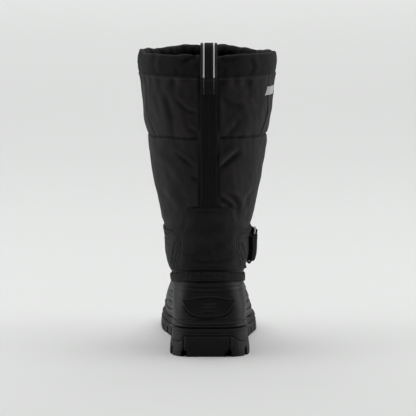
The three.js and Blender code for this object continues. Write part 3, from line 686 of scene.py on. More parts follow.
# Nylon up to the hem, the hem's cloth over the collar and a little way down inside, and fleece from there.
row = np.arange(len(row_z))
cloth_of_row = np.select([row >= len(outside_z) + len(roll) + 11, row_z < 318.4], [2, 0], 1)
# The wear attribute lightens the nylon on rubbed ridges and paints near-black shade into the hollows of seams, creases
# and gathers.
upper = grid_piece(
    "padded_upper", shaft, [NYLON, HEM_CLOTH, FLEECE], ["upper"],
    around=True, wear=wear_and_shade_of(relief, 1.0), finish_of=np.repeat(cloth_of_row, UPPER_COLUMNS),
)

# ---- Ankle leatherette ---------------------------------------------------------------------------------------
# Quarter and vamp of coated leatherette in one piece, sewn to the nylon by a double row along its upper edge, and a
# heel counter of the same stuff laid over it, whose lower edges are sewn down beside a dart.


def leatherette(name, dark, light, rough):
    """Coated cloth: pebbled grain under a thin polish, finer pores, and rubbed patches that shine a little more."""
    hide = Finish(name, Specular_IOR_Level=0.2)
    place = hide.place()
    swirl = hide.node("TexNoise", None, out=1, Vector=place, Scale=0.3)
    warped = hide.node("VectorMath", {"operation": "ADD"}, place, swirl)
    pebbles = hide.node("TexVoronoi", {"feature": "SMOOTH_F1"}, Vector=warped, Scale=0.62, Smoothness=0.6)
    pores = hide.cloud(place, 0.7, 3, 0.6)
    rubbed = hide.cloud(place, 17, 3, 0.6)
    colour = hide.worn_and_shaded((rubbed * 0.7 + pores * 0.3 + pebbles * 0.25).between(0.35, 0.85), dark, light, 1.0)
    gloss = rubbed * -0.12 + pebbles * 0.12 + rough
    fine = hide.relief(pores, 0.08)
    return hide.wear(colour, gloss, hide.relief(pebbles, -0.35, fine))


LEATHERETTE = leatherette("leatherette", (0.003, 0.0034, 0.0032), (0.0095, 0.0102, 0.0098), 0.62)
yarn = Finish("black_thread", Specular_IOR_Level=0.4)
twist = yarn.cloud(yarn.place(), 0.5, 1)
black = yarn.blend(twist, (0.006, 0.006, 0.006), (0.018, 0.018, 0.018))
THREAD = yarn.wear(black, 0.5, yarn.relief(twist, 0.1))


def rounded(away, radius):
    """Share of the full thickness this far from an edge: a quarter circle over the radius."""
    held = 1 - np.clip(away / radius, 0, 1)
    return np.sqrt(np.maximum(1 - held * held, 0))


def crowded(count, edge, length):
    """Shares from 0 to 1, whose first and last four steps crowd into `edge` millimetres, where it is rounded."""
    near = np.array([0, 0.12, 0.35, 0.65]) * edge / length
    return np.concatenate([near, np.linspace(edge / length, 1 - edge / length, count), 1 - near[::-1]])


def closed_wall(name, lines, thick, inner, finish, stands_for, relief, depth=0.6):
    """A wall all round the boot, `thick` on from its inner face, which lies `inner` off the skin's lines: its outer
    face up, its inner face down, joined along both edges. The outer face's colour is lighter on the ridges of its
    relief, as wear, and takes painted shade in its hollows; the inner face has neither."""
    normals = skin_normals(lines)
    outer_face, inner_face = lines + normals * (inner + thick)[..., None], lines + normals * inner
    points = np.concatenate([outer_face, inner_face[-2:0:-1]])
    wear = np.full(points.shape[:2], 0.5)
    wear[: len(relief)] = wear_and_shade_of(relief, depth)
    return grid_piece(name, points, [finish], [stands_for], around=True, wear=wear)


# A leaf or shell lies this far off the skin, so that it never sinks into what it covers.
CLEAR = 0.4
fine_angles = np.arange(400) * 2 * np.pi / 400
quarter_low, quarter_high = above_shell(1.5), sloping(139, 150, 2)
QUARTER_WIDE = 52
shares = crowded(56, 1.6, QUARTER_WIDE)
quarter_lines = skin_lines(between(quarter_low, quarter_high, shares), fine_angles)
x, y, z = np.moveaxis(quarter_lines, -1, 0)
behind = rear(y)
top = quarter_high(y) - z
wings = smooth(30, 36, np.abs(x)) * smooth(-60, -80, y)
ripples = 0.3 * np.sin(top / 0.9 + 0.8 * np.sin(y / 7)) * bell(top - 7, 6) * wings
# Grooves just outside the counter's lower edges; through the wear attribute their hollows also take painted shade, a
# dark line beside the counter.
DARTS = [
    ([(-34.6, 131), (-35.2, 124), (-36.9, 113), (-38.5, 104), (-39.6, 97)], 1.5, 2.3),
    ([(37.2, 131), (38.1, 124), (40.2, 113), (42.2, 104), (43.6, 97)], 1.5, 2.3),
]
darts = creased(x, z, DARTS) * behind
# The vamp's seam and the heel's, on both sides: (y, z) paths.
SIDE_SEAMS = [
    ([(-14, 148), (2, 126), (24, 108), (44, 92)], 1.2, 1.0, 0.35),
    ([(-96, 141), (-90, 120), (-84, 86)], 1.2, 0.9, 0.35),
]
seams = creased(y, z, SIDE_SEAMS) * smooth(8, 20, np.abs(x))
FLEX = [
    ([(-36, 128), (-10, 121), (12, 122), (34, 130)], 3.2, 1.0, 0.9),
    ([(-30, 139), (-6, 134), (26, 138)], 2.6, 0.7, 0.7),
    ([(-30, 112), (-4, 107), (28, 113)], 3.4, 0.6, 0.7),
]
flex = creased(x, z, FLEX) * smooth(-60, -45, y)
hollows = 0.16 * noise(quarter_lines, 30, 61) + 0.1 * noise(quarter_lines, 12, 62) * smooth(3, 8, top)
stitch_line = -0.35 * bell(top - 2.6, 0.7) - 0.35 * bell(top - 5.4, 0.7)
lip = 0.15 * smooth(2.2, 0.6, top)
away = inward(shares) * QUARTER_WIDE
relief = (ripples + darts + seams + flex + hollows + stitch_line + lip) * rounded(away, 2.2)[:, None]
thick = (1.8 + np.maximum(relief, -1.5)) * rounded(away, 1.2)[:, None]
closed_wall("leatherette_quarter", quarter_lines, thick, CLEAR, LEATHERETTE, "quarter", relief)


def raised(height, by):
    """The surface `by` above another, as the one row of a grid."""
    return lambda y: height(np.asarray(y) + np.zeros((1, 1))) + by


def thread_run(line, off):
    """Points `off` outside a line of the skin, with their normals."""
    normals = skin_normals(line)
    return line + normals * off, normals


def sewing_line(height, off):
    """A run of thread all round the boot, where a surface meets the skin."""
    return thread_run(skin_lines(height, np.linspace(0, 2 * np.pi, 361))[0], off)


runs = [sewing_line(raised(quarter_high, -drop), 2.05) for drop in (2.6, 5.4)]
stitches("quarter_stitching", runs, 3.1)


def heel_points(x, z):
    """Points of the skin straight behind each (x, z), found by halving the way back from the ankle's middle."""
    inside, outside = np.zeros(x.shape), np.full(x.shape, 140.0)
    for _ in range(HALVINGS):
        middle = (inside + outside) / 2
        within = skin(x, ANKLE[1] - middle, z) < 0
        inside, outside = np.where(within, middle, inside), np.where(within, outside, middle)
    return np.stack([x, ANKLE[1] - inside, z], -1)


# The counter's outline from behind: z, left edge, right edge.
COUNTER = np.array([
    [97.0, -37.6, 41.8],
    [104, -36.3, 40.0],
    [112, -35.2, 38.4],
    [120, -33.9, 36.6],
    [128, -33.2, 35.6],
    [133, -34.0, 36.4],
    [137, -36.0, 38.6],
    [139.6, -37.4, 40.2],
    [141.6, -35.6, 38.2],
    [144, -32.6, 34.6],
    [148, -30.3, 32.2],
    [155, -28.5, 30.4],
    [162, -26.9, 29.2],
    [166.4, -25.4, 27.8],
    [168.4, -23.6, 25.2],
    [169.5, -20.5, 20.5],
])
COUNTER_TOP = COUNTER[-1, 0]
counter_left, counter_right = (through(COUNTER[:, 0], column) for column in COUNTER[:, 1:].T)


def patch(name, rows, columns, left, right, inner, thick, relief, finish, stands_for, edge=1.3):
    """A leaf sewn on behind: a grid between its left and right edges, whose outer face comes down to the inner one
    in a quarter circle along all four edges. `inner` and `relief` are functions of x and z."""
    across = left(rows)[:, None] + (right(rows) - left(rows))[:, None] * columns
    z = rows[:, None] + 0 * across
    line = heel_points(across, z)
    normals = skin_normals(line)
    side = inward(columns) * (right(rows) - left(rows))[:, None]
    lean = np.hypot(1, np.gradient(left(rows), rows))[:, None]
    ends = np.minimum(rows[-1] - rows, rows - rows[0])[:, None]
    away = np.minimum(side / lean, ends)
    raised_by = relief(across, z, away)
    height = (thick + raised_by) * rounded(away, edge)
    stand = inner(across, z)
    outer = line + normals * (stand + height)[..., None]
    back = line + normals * stand[..., None]
    points = np.concatenate([outer, back[::-1]])
    # Painted shadow: near every edge, and up to 2 mm in from the lower side edges below z 134, the wear falls towards
    # 0, which the leatherette paints almost black as a shadow line where the leaf lies over what it covers.
    edge_shadow_mask = np.minimum(smooth(-0.3, 1.3, away), 1 - smooth(2.1, 0.5, away) * smooth(134, 130, z))
    wear = np.concatenate([wear_and_shade_of(raised_by, 0.5) * edge_shadow_mask, np.full(stand.shape, 0.5)])
    return grid_piece(name, points, [finish], [stands_for], wear=wear)


def counter_stand(x, z):
    """How far off the skin the counter's inner face lies: it climbs onto the quarter, and then onto the band."""
    return CLEAR + 2.1 * smooth(151, 139, z) + 0.5 * smooth(112, 104, z)


def counter_relief(x, z, away):
    """Two sewing furrows inside the edge, a proud lip between them, and the soft hollows of a stiffened heel."""
    furrows = -0.4 * bell(away - 2.3, 0.6) - 0.4 * bell(away - 4.9, 0.6)
    points = np.stack([x, 0 * x, z], -1)
    hollows = 0.25 * noise(points, 34, 71) + 0.12 * noise(points, 14, 72)
    folds = creased(x, z, [
        ([(-22, 112), (-6, 108.5), (14, 109), (34, 113)], 2.0, 0.35, 0.25),
        ([(-30, 119), (-18, 116), (-10, 117)], 2.2, 0.2, 0.2),
    ])
    lip = 0.25 * smooth(2.0, 0.7, away) * smooth(0, 0.6, away)
    return furrows + lip + (hollows + folds) * smooth(4, 9, away)


COUNTER_HIGH = COUNTER_TOP - COUNTER[0, 0]
rows = COUNTER[0, 0] + COUNTER_HIGH * crowded(70, 1.6, COUNTER_HIGH)
patch(
    "heel_counter", rows, crowded(60, 1.6, 66), counter_left, counter_right, counter_stand, 1.7, counter_relief,
    LEATHERETTE, "counter",
)


def edge_run(drop):
    """The sewing line `drop` millimetres inside the counter's edge: up its left side, over its top, and down."""
    z_side = np.linspace(98, COUNTER_TOP - drop, 96)
    left, right = counter_left(z_side), counter_right(z_side)
    tilt_left = np.hypot(1, np.gradient(left, z_side))
    tilt_right = np.hypot(1, np.gradient(right, z_side))
    left, right = left + drop * tilt_left**0.8, right - drop * tilt_right**0.8
    across = np.concatenate([left, right[::-1]])
    up = np.concatenate([z_side, z_side[::-1]])
    keep = np.abs(np.concatenate([tilt_left, tilt_right[::-1]])) < 3.2
    line = heel_points(across[keep], up[keep])
    return thread_run(line, (counter_stand(line[:, 0], line[:, 2]) + 1.55)[:, None])


stitches("counter_stitching", [edge_run(2.3), edge_run(4.9)], 3.0)

# ---- Band ----------------------------------------------------------------------------------------------------
# A folded strip of nylon binding that covers the seam between the rubber shell and the leatherette, sewn along both
# of its edges and once more through its middle.

BINDING = oxford("nylon_binding", (0.0045, 0.0039, 0.0037), (0.0155, 0.013, 0.0122), 0.78, 0.2, 0.03)
BAND_BELOW, BAND_ABOVE = 2.6, 8.4
BAND_WIDE = BAND_BELOW + BAND_ABOVE
shares = crowded(26, 1.2, BAND_WIDE)
band_lines = skin_lines(between(above_shell(-BAND_BELOW), above_shell(BAND_ABOVE), shares), fine_angles)
rise = (shares * BAND_WIDE)[:, None] + 0 * band_lines[..., 0]
away = np.minimum(rise, BAND_WIDE - rise)
SEWN_AT = (1.9, 5.4, 9.0)
furrows = sum(-0.45 * bell(rise - at, 0.7) for at in SEWN_AT)
wrinkles = 0.15 * noise(band_lines, 7, 81, 0.4) + 0.1 * noise(band_lines, 18, 82) + 0.06 * np.sin(rise * 2.4)
# The binding's two ends overlap behind, to the left of the middle.
from_ends = np.abs(band_lines[..., 0] + 12.5)
overlap = (smooth(5.4, 4.9, from_ends) - bell(from_ends - 5.8, 0.5)) * smooth(-60, -80, band_lines[..., 1])
band_relief = furrows + wrinkles + 0.3 * np.sin(np.pi * shares)[:, None] + 0.35 * overlap
band_relief = band_relief * rounded(away, 1.8)
thick = 0.3 + (1.2 + band_relief) * rounded(away, 0.9)
closed_wall("seam_band", band_lines, thick, 3.8, BINDING, "band", band_relief, 0.4)
runs = [sewing_line(raised(above_shell(-BAND_BELOW), at), 4.95) for at in SEWN_AT]
stitches("band_stitching", runs, 3.4, 0.34)

# ---- Shell ---------------------------------------------------------------------------------------------------
# Moulded thermoplastic rubber galosh round the foot, open on top: its heel has a lens-shaped boss with three level
# grip bars under an arched rib, two foxing grooves run round above the sole, and the toe has a raised bumper.


def moulded(name, dark, light, rough, grain):
    """Moulded rubber: fine spark-eroded grain, slow waves of gloss, and scuffs that dull it and lighten it."""
    rubber = Finish(name, Specular_IOR_Level=0.25)
    place = rubber.place()
    grit = rubber.cloud(place, 0.45, 3, 0.7)
    waves = rubber.cloud(place, 30, 3, 0.55)
    rubbed = rubber.cloud(rubber.stretched(place, (1, 1, 3)), 5, 5, 0.75).between(0.6, 0.8)
    colour = rubber.worn_and_shaded((waves * 0.6 + grit * 0.3 + rubbed * 0.5).between(0.25, 1.1), dark, light, 1.0)
    gloss = grit * 0.1 + waves * 0.1 + rubbed * 0.1 + (rough - 0.1)
    return rubber.wear(colour, gloss, rubber.relief(grit, grain))


SHELL_RUBBER = moulded("shell_rubber", (0.0035, 0.0041, 0.0039), (0.0115, 0.0129, 0.0124), 0.52, 0.06)
SOLE_RUBBER = moulded("outsole_rubber", (0.0035, 0.0036, 0.0036), (0.0115, 0.0118, 0.0115), 0.6, 0.12)

shell_edge = above_shell(0)
SHELL_HIGH = 58
shares = crowded(104, 1.6, SHELL_HIGH)
shell_lines = skin_lines(between(feather, shell_edge, shares), fine_angles)
x, y, z = np.moveaxis(shell_lines, -1, 0)
behind = smooth(-88, -104, y)
above_sole = z - deck(y)
u = (x - 1.5) / 27.4
lens = np.clip(1 - np.abs(u), 0, 1)
lens_top = 67.3 - 4.8 * u * u
lens_foot = 62.5 - 15.8 * (1 - np.clip(np.abs(u), 0, 1) ** 4) ** 0.8
inside_lens = smooth(0, 0.6, lens_top - z) * smooth(0, 0.6, z - lens_foot) * smooth(0, 0.05, lens)
lens_high = (z - lens_foot) / np.maximum(lens_top - lens_foot, 1)
boss = inside_lens * (-0.95 * smooth(0.1, 1, lens_high) + 0.35 * (1 - lens_high))
boss = boss + smooth(0, 0.06, lens) * (1.0 * bell(z - lens_foot, 0.9) - 0.9 * bell(z - lens_foot + 2.0, 0.8))
boss = boss - smooth(0, 0.06, lens) * 0.95 * bell(z - lens_top, 0.65)
# Three short level grip bars in the boss, each narrower than the one above it.
for bar_z, bar_half in ((60.4, 8.0), (56.6, 6.6), (52.8, 4.8)):
    bar = smooth(bar_half + 0.8, bar_half - 0.8, np.abs(x - 2.2))
    boss = boss + bar * (0.5 * bell(z - bar_z, 0.8) - 0.4 * bell(z - bar_z + 1.9, 0.6))
arch = 74.0 + 0.4 * ((x - 3) / 29) ** 2
arches = -0.25 * bell(z - arch, 1.0) + 0.16 * bell(z - arch - 2.6, 1.3)
arches = arches - 0.12 * bell(z - arch - 4.8, 0.8) + 0.16 * bell(z - arch - 7.0, 1.2)
heel_face = (boss + arches * smooth(44, 34, np.abs(x))) * behind
foxing_high = 11.4 - 3.0 * np.clip((x - 1.5) / 29, -1, 1) ** 2 * behind - 1.5 * (1 - behind)
foxing = -0.75 * bell(above_sole - foxing_high, 0.8) + 0.35 * smooth(foxing_high, foxing_high - 1.5, above_sole)
foxing = foxing - 0.55 * bell(above_sole - 4.6, 0.7) + 0.3 * bell(above_sole - 7.6, 1.3)
side = 1 - behind
toe_line = np.interp(z, [18, 30, 50, 66, 75], [88, 94, 103, 112, 116])
bumper = 0.9 * smooth(-0.8, 0.8, y - toe_line) - 0.5 * bell(y - toe_line + 1.6, 1.0)
SIDE_LINES = [
    ([(-84, 76), (-50, 60), (-6, 54), (40, 50), (88, 42)], 1.6, 0.55, 0.55),
    ([(-80, 62), (-48, 47), (0, 41), (50, 38), (86, 34)], 1.6, 0.55, 0.55),
    ([(-36, 84), (-8, 76), (28, 74), (64, 66)], 1.6, 0.55, 0.55),
]
sides = creased(y, z, SIDE_LINES) * smooth(10, 18, np.abs(x)) * smooth(100, 84, y)
under_band = shell_edge(y) - z
# A ridge under the band; through the wear attribute it also lightens the colour there, painted light where the band's
# shadow falls.
top_roll_and_painted_light = 0.5 * side * bell(under_band - 9.6, 1.4) + 0.5 * behind * bell(under_band - 5.0, 1.6)
shell_relief = (heel_face + foxing + side * (bumper + sides) + top_roll_and_painted_light) * smooth(0, 2.5, above_sole)
shell_relief = shell_relief + 0.06 * noise(shell_lines, 22, 91)
away = inward(shares) * SHELL_HIGH
thick = (3.0 + np.maximum(shell_relief, -1.6)) * rounded(away, 1.0)[:, None]
closed_wall("rubber_shell", shell_lines, thick, CLEAR, SHELL_RUBBER, "shell", shell_relief)

# ---- Outsole -------------------------------------------------------------------------------------------------
# Moulded rubber tread: a body with a rim round the shell and an arch between heel and ball, and separate lugs along
# both edges and across the middle. The block at the heel is undercut at both of its lower corners.

LUG_STAND = 6.4
outline_angles = np.linspace(-np.pi, np.pi, 721)
outline = skin_lines(raised(feather, 0), outline_angles)[0]
outline_out = unit(skin_normals(outline[None])[0][:, :2])


def sole_edge(t, off, z):
    """The sole's edge at angle t, `off` outside the upper and at height z before the toe springs. The forefoot's
    and the heel's corners stand out a little more, low down."""
    t = np.asarray(t, float)
    off, z = np.broadcast_arrays(np.asarray(off, float) + 0 * t, np.asarray(z, float) + 0 * t)
    x, y = (np.interp(t, outline_angles, outline[:, i]) for i in (0, 1))
    nx, ny = (np.interp(t, outline_angles, outline_out[:, i]) for i in (0, 1))
    flare = 2.4 * smooth(0, 50, y) * smooth(130, 95, y) * smooth(2.5, 5, off)
    corner = bell(np.abs(t) - 0.62, 0.26) * smooth(20, 4, z) * smooth(3, 5, off)
    off = off + flare + 2.6 * corner
    return np.stack([x + nx * off, y + ny * off, z + spring(y)], -1)


edge_line = sole_edge(outline_angles, 5, 0)
arc = reached(edge_line[:, :2])
arc = arc - np.interp(0, outline_angles, arc)


def angle_at(distance):
    """Angle of the point so many millimetres along the sole's edge from the heel; the inner side is below zero."""
    return np.interp(distance, arc, outline_angles)


def underside(y):
    """Eight millimetres above the floor, and five more under the arch of the foot."""
    return 8 + 5 * smooth(-78, -52, y) * smooth(14, -14, y)


sole_t = np.linspace(-np.pi, np.pi, 721)[:-1]
sole_y = sole_edge(sole_t, 4, 0)[:, 1]
sole_arc = np.interp(sole_t, outline_angles, arc)
low, high = underside(sole_y), deck(sole_y) - spring(sole_y)
heel_share = smooth(-70, -100, sole_y)
corner_fall = np.where(sole_arc < 0, smooth(29, 38, -sole_arc), smooth(23.5, 41, sole_arc))
flange = high - 9.4 - 7.0 * corner_fall * heel_share - 1.0 * (1 - heel_share)
flange = np.where(sole_y > -60, np.maximum(flange, low + 4), flange)
up = np.concatenate([runs_of((0, 0.2, 4), (0.25, 0.92, 30)), [0.945, 0.965, 0.98, 0.99, 1.0]])[:, None]
wall_z = low + (high - low) * up
wall_off = np.interp(up, [0, 0.1, 0.62, 0.9, 0.97, 1.0], [4.0, 4.9, 4.5, 4.5, 4.1, 2.8]) + 0 * wall_z
wall_off = wall_off + 0.9 * smooth(flange + 0.7, flange - 0.7, wall_z) - 1.2 * bell(wall_z - flange - 0.9, 0.6)
wall_off = wall_off + 0.35 * bell(high - wall_z - 2.2, 0.8) - 0.4 * bell(high - wall_z - 4.2, 0.6)
beside_block = bell(sole_arc + 31.0, 0.9) + bell(sole_arc - 23.0, 0.9)
frame_side = bell(sole_arc + 33.0, 0.9) + bell(sole_arc - 25.0, 0.9)
wall_off = wall_off + (0.5 * frame_side - 1.1 * beside_block) * smooth(flange + 0.6, flange - 0.6, wall_z)
sole_wall = sole_edge(np.broadcast_to(sole_t, wall_z.shape), wall_off, wall_z)


def sole_cap(edge, shares):
    """Rows from an outline in to the sole's middle line, on which the two sides meet at the same y."""
    mirrored = edge[(-np.arange(len(edge))) % len(edge)]
    middle = (edge + mirrored) / 2
    return edge + (middle - edge) * np.asarray(shares)[:, None, None]


CAP = [0.25, 0.5, 0.75, 1]
sole = np.concatenate([sole_cap(sole_wall[0], CAP[::-1]), sole_wall, sole_cap(sole_wall[-1], CAP)])
# Wear lightens the sole wall's ridges and paints shade into its grooves; the caps stay plain.
sole_wear_and_shade = np.full(sole.shape[:2], 0.5)
sole_wear_and_shade[4:-4] = wear_and_shade_of(wall_off, 0.5)
sole_wear_and_shade[4:6] = sole_wear_and_shade[-6:-4] = 0.5
grid_piece(
    "outsole_body", sole, [SOLE_RUBBER], ["outsole"], around=True, over=False, wear=sole_wear_and_shade
)


def block(outer, inner):
    """Points and faces of a closed block between an outer and an inner grid of one shape."""
    rows, columns = outer.shape[:2]
    out = np.arange(rows * columns).reshape(rows, columns)
    inn = out + rows * columns
    sheets = [out, inn[:, ::-1], np.stack([inn[0], out[0]]), np.stack([out[-1], inn[-1]])]
    sheets += [np.stack([inn[:, 0], out[:, 0]], 1), np.stack([out[:, -1], inn[:, -1]], 1)]
    points = np.concatenate([outer.reshape(-1, 3), inner.reshape(-1, 3)])
    return points, np.concatenate([quads(sheet) for sheet in sheets])


def edge_lug(levels, deep, columns):
    """A lug on the sole's edge. Each level gives its two ends along the edge, how far its face stands out, and its
    height; the lug reaches `deep` in from its foot."""
    across = np.linspace(0, 1, columns)
    face = [sole_edge(angle_at(a + (b - a) * across), off, z) for a, b, off, z in levels]
    back = [sole_edge(angle_at(a + (b - a) * across), levels[0][2] - deep, z) for a, b, off, z in levels]
    return block(np.stack(face), np.stack(back))


lugs = [edge_lug([
    (-26.0, 17.4, LUG_STAND + 0.2, 0),
    (-26.0, 17.4, LUG_STAND, 6.2),
    (-29.6, 21.6, LUG_STAND - 0.1, 7.4),
    (-29.4, 21.4, LUG_STAND - 0.5, 14),
    (-28.6, 20.8, LUG_STAND - 0.6, 18.4),
    (-28.0, 20.2, LUG_STAND - 1.6, 19.4),
], 18, 9)]
GROOVE = 5.5
for side, reach in ((1, arc[-1]), (-1, -arc[0])):
    first = 23.2 if side > 0 else 31.2
    pitch = (124 - first) / 4
    for i in range(4):
        start, end = first + i * pitch, first + (i + 1) * pitch - GROOVE
        top = 15.4 if i < 3 else 13.5
        low_start = start + (1.4 if i == 0 else 0)
        ends = [(low_start, end, LUG_STAND, 0), (low_start, end, LUG_STAND, 6)]
        ends += [(start, end, LUG_STAND - 0.1, 8), (start, end, LUG_STAND - 0.6, top - 1)]
        ends += [(start + 0.6, end - 0.6, LUG_STAND - 1.9, top)]
        lugs.append(edge_lug([(*sorted((side * a, side * b)), off, z) for a, b, off, z in ends], 17, 5))
    pitch = (reach - 10 - 164) / 9
    for i in range(9):
        start, end = 164 + i * pitch, 164 + (i + 1) * pitch - GROOVE
        deep = 19 if i % 2 else 23
        ends = [(start, end, LUG_STAND, 0), (start, end, LUG_STAND - 0.3, 7), (start, end, LUG_STAND - 0.9, 12)]
        ends += [(start + 0.8, end - 0.8, LUG_STAND - 2.2, 13)]
        lugs.append(edge_lug([(*sorted((side * a, side * b)), off, z) for a, b, off, z in ends], deep, 4))

toe = np.linspace(-10, 10, 7)
toe_t = np.where(toe < 0, angle_at(arc[-1] + toe), angle_at(arc[0] + toe))
toe_levels = [(LUG_STAND + 1.2, 0), (LUG_STAND + 0.2, 7), (LUG_STAND - 0.8, 12), (LUG_STAND - 2.2, 13)]
toe_face = np.stack([sole_edge(toe_t, off, z) for off, z in toe_levels])
lugs.append(block(toe_face, np.stack([sole_edge(toe_t, LUG_STAND - 13, z) for _, z in toe_levels])))

# Bars across the middle: y, half width, and how far their ends are swept back towards the heel.
BARS = [(-114, 16, 5), (-94, 17, 5), (-74, 17, 5)]
BARS += [(4, 22, -6), (23, 24, -6), (42, 25, -6), (61, 24, -6), (80, 22, -6), (99, 18, -6)]
for bar_y, bar_half, sweep in BARS:
    across = np.linspace(-1, 1, 9)
    sheets = []
    for grow, z in ((0, 0), (0.5, 6), (1.5, 10)):
        bar_x = foot_centre(bar_y) + across * (bar_half + grow)
        rows = [bar_y + way * (5.5 + grow) - sweep * np.abs(across) for way in (-1, 1)]
        sheets.append([np.stack([bar_x, row, z + spring(row)], -1) for row in rows])
    sheets = np.array(sheets)
    lugs.append(block(sheets[:, 0], sheets[:, 1]))

counts = np.cumsum([0] + [len(points) for points, _ in lugs])
lug_points = np.concatenate([points for points, _ in lugs])
lug_faces = np.concatenate([faces + start for (_, faces), start in zip(lugs, counts)])
lug_lay = (lug_points[:, 1:] + lug_points[:, :1])[lug_faces]
lug_piece = make_piece("outsole_lugs", lug_points, lug_faces, lug_lay, [SOLE_RUBBER])
bevel = lug_piece.modifiers.new("worn_edges", "BEVEL")
bevel.width, bevel.segments, bevel.limit_method, bevel.angle_limit = 0.7 * MM, 2, "ANGLE", np.radians(32)
lug_piece.data.polygons.foreach_set("use_smooth", np.zeros(len(lug_faces), bool))

# ---- Insole --------------------------------------------------------------------------------------------------
# A removable foam footbed faced with felt, a little dished at the heel, lying on the outsole's deck.

FELT = pile("felt_insole", (0.008, 0.008, 0.009), (0.025, 0.025, 0.027), 1.1, 5, 2.0, 0.7, 0.5)
bed_t = np.linspace(-np.pi, np.pi, 181)[:-1]
bed_edge = sole_edge(bed_t, -6.4, 0)
bed_out = np.concatenate([np.linspace(0, 0.92, 14), [0.96, 0.985, 1.0]])
bed_top = sole_cap(bed_edge, 1 - bed_out)[::-1]
bed_y = bed_top[..., 1]
to_edge = bed_out[::-1, None]
dish = 4.2 * (1 - 0.5 * smooth(-60, -110, bed_y)) + 1.5 * to_edge**6 - 0.8 * (to_edge > 0.99)
bed_top[..., 2] = deck(bed_y) + 0.8 + dish
bed_low = sole_cap(bed_edge, 1 - bed_out)
bed_low[..., 2] = deck(bed_low[..., 1]) + 0.8
bed = np.concatenate([bed_low, bed_top])
insole = grid_piece("felt_footbed", bed, [FELT], ["insole"], around=True, over=False)

# ---- Back stay and pull loop ---------------------------------------------------------------------------------
# Black ribbed webbing up the middle of the back, under which the shaft's seam is hidden, and a loop of the same
# webbing over the collar, with two woven-in reflective lines, for pulling the boot on.


WEB_WIDE, RIB = 19.4, 1.62


def webbing(name, dark, light, rough, lines=0.0):
    """Flat woven webbing: ribs along it, picks across it, and, where `lines` is set, a bright reflective line this
    far each side of its middle, which is covered by thread at the foot."""
    web = Finish(name, Specular_IOR_Level=0.18)
    _, u, v = web.flat_place()
    ribs, picks = u.wave(RIB, np.pi / 2), v.wave(0.9)
    dust = web.cloud(web.place(), 6, 4, 0.7)
    colour = web.blend((ribs * 0.5 + picks * 0.2 + dust * 0.5).between(0.2, 1.1), dark, light)
    height = ribs + picks * 0.35
    gloss = dust * 0.1 + rough
    if lines:
        sewn = 19
        aside = u.math("ABSOLUTE")
        from_line = (aside - lines).math("ABSOLUTE")
        beads = from_line.math("LESS_THAN", 0.85) * v.math("GREATER_THAN", sewn)
        woven = from_line.math("LESS_THAN", 0.35) * v.math("LESS_THAN", sewn)
        woven = woven * v.wave(2.4).math("GREATER_THAN", 0.45)
        edge = aside.math("GREATER_THAN", 7.6) * v.wave(2.1).math("GREATER_THAN", 0.6)
        edge = edge * v.math("GREATER_THAN", sewn)
        colour = web.blend(woven * 0.5 + edge * 0.1, colour, (0.5, 0.5, 0.5))
        colour = web.blend(beads, colour, (0.82, 0.83, 0.84))
        gloss = gloss - beads * 0.3
    return web.wear(colour, gloss, web.relief(height, 0.35))


STAY_WEB = webbing("stay_webbing", (0.0018, 0.0018, 0.0018), (0.006, 0.006, 0.0062), 0.65)
LOOP_WEB = webbing("loop_webbing", (0.0035, 0.0035, 0.0035), (0.0105, 0.0105, 0.0105), 0.6, 5.9)
WEB_LEFT, WEB_RIGHT = -7.9, 11.5


def stay_relief(x, z, away):
    ribs = 0.16 * np.cos((x - 1.8) * 2 * np.pi / 3.2) * smooth(0.8, 2, away)
    rolled = 0.25 * bell(away - 1.3, 0.8)
    return ribs + rolled + 0.15 * noise(np.stack([x * 0.2, 0 * x, z], -1), 26, 101)


STAY_LONG = 166
patch(
    "back_stay_webbing", 168.0 + STAY_LONG * crowded(110, 1.2, STAY_LONG), crowded(25, 1.0, WEB_WIDE),
    lambda z: WEB_LEFT + 0 * z, lambda z: WEB_RIGHT + 0 * z, lambda x, z: 0.45 + 0 * x, 1.15, stay_relief,
    STAY_WEB, "back_stay", 0.8,
)
sides = (WEB_LEFT + 1.7, WEB_RIGHT - 1.7)
runs = [thread_run(heel_points(np.full(200, x_at), np.linspace(172, 318, 200)), 1.75) for x_at in sides]
stitches("stay_stitching", runs, 2.8, 0.3)

# The loop's path in (y, z): up outside the collar, over it in half an ellipse, and down inside.
skin_behind = heel_points(np.full(5, BACK_MIDDLE), np.array([300.0, 312, 320, 330, 340]))
outside_path = np.stack([skin_behind[:, 1] - 2.7, skin_behind[:, 2]], -1)
inside_y = skin_behind[3, 1] + 16
middle_y = (outside_path[-1, 0] + inside_y) / 2
turn = np.pi * np.arange(1, 25) / 25
over = np.stack([middle_y - (inside_y - middle_y) * np.cos(turn), 340 + 16.7 * np.sin(turn)], -1)
down = np.stack([np.full(6, inside_y), np.linspace(338, 316, 6)], -1)
rough_path = np.concatenate([outside_path, over, down])
travel = np.linspace(0, reached(rough_path)[-1], 150)
path = resample(rough_path, travel)
for _ in range(6):
    path[1:-1] = (path[:-2] + 2 * path[1:-1] + path[2:]) / 4
ahead = unit(np.gradient(path, axis=0))
outward = np.stack([-ahead[:, 1], ahead[:, 0]], -1)
columns = crowded(23, 1.0, WEB_WIDE)
pinch = 1 - 0.05 * bell(path[:, 1] - 319, 4) * (travel < 40)
across = ((columns - 0.5) * 19.2)[None] * pinch[:, None]
sag = 0.35 * (across / 9.6) ** 2 * smooth(300, 340, path[:, 1])[:, None]
sag = sag + (0.25 * np.sin(travel / 9) * (travel > 30))[:, None]
edge = rounded(inward(columns) * WEB_WIDE, 0.7)[None]
ribs = 0.1 * np.cos(across * 2 * np.pi / RIB)


def web_face(off):
    """The path's points carried across the webbing's width, `off` outside it along its own outward direction."""
    y = path[:, :1] + outward[:, :1] * off
    z = path[:, 1:] + outward[:, 1:] * off
    return np.stack([1.8 + across + 0 * y, y, z], -1)


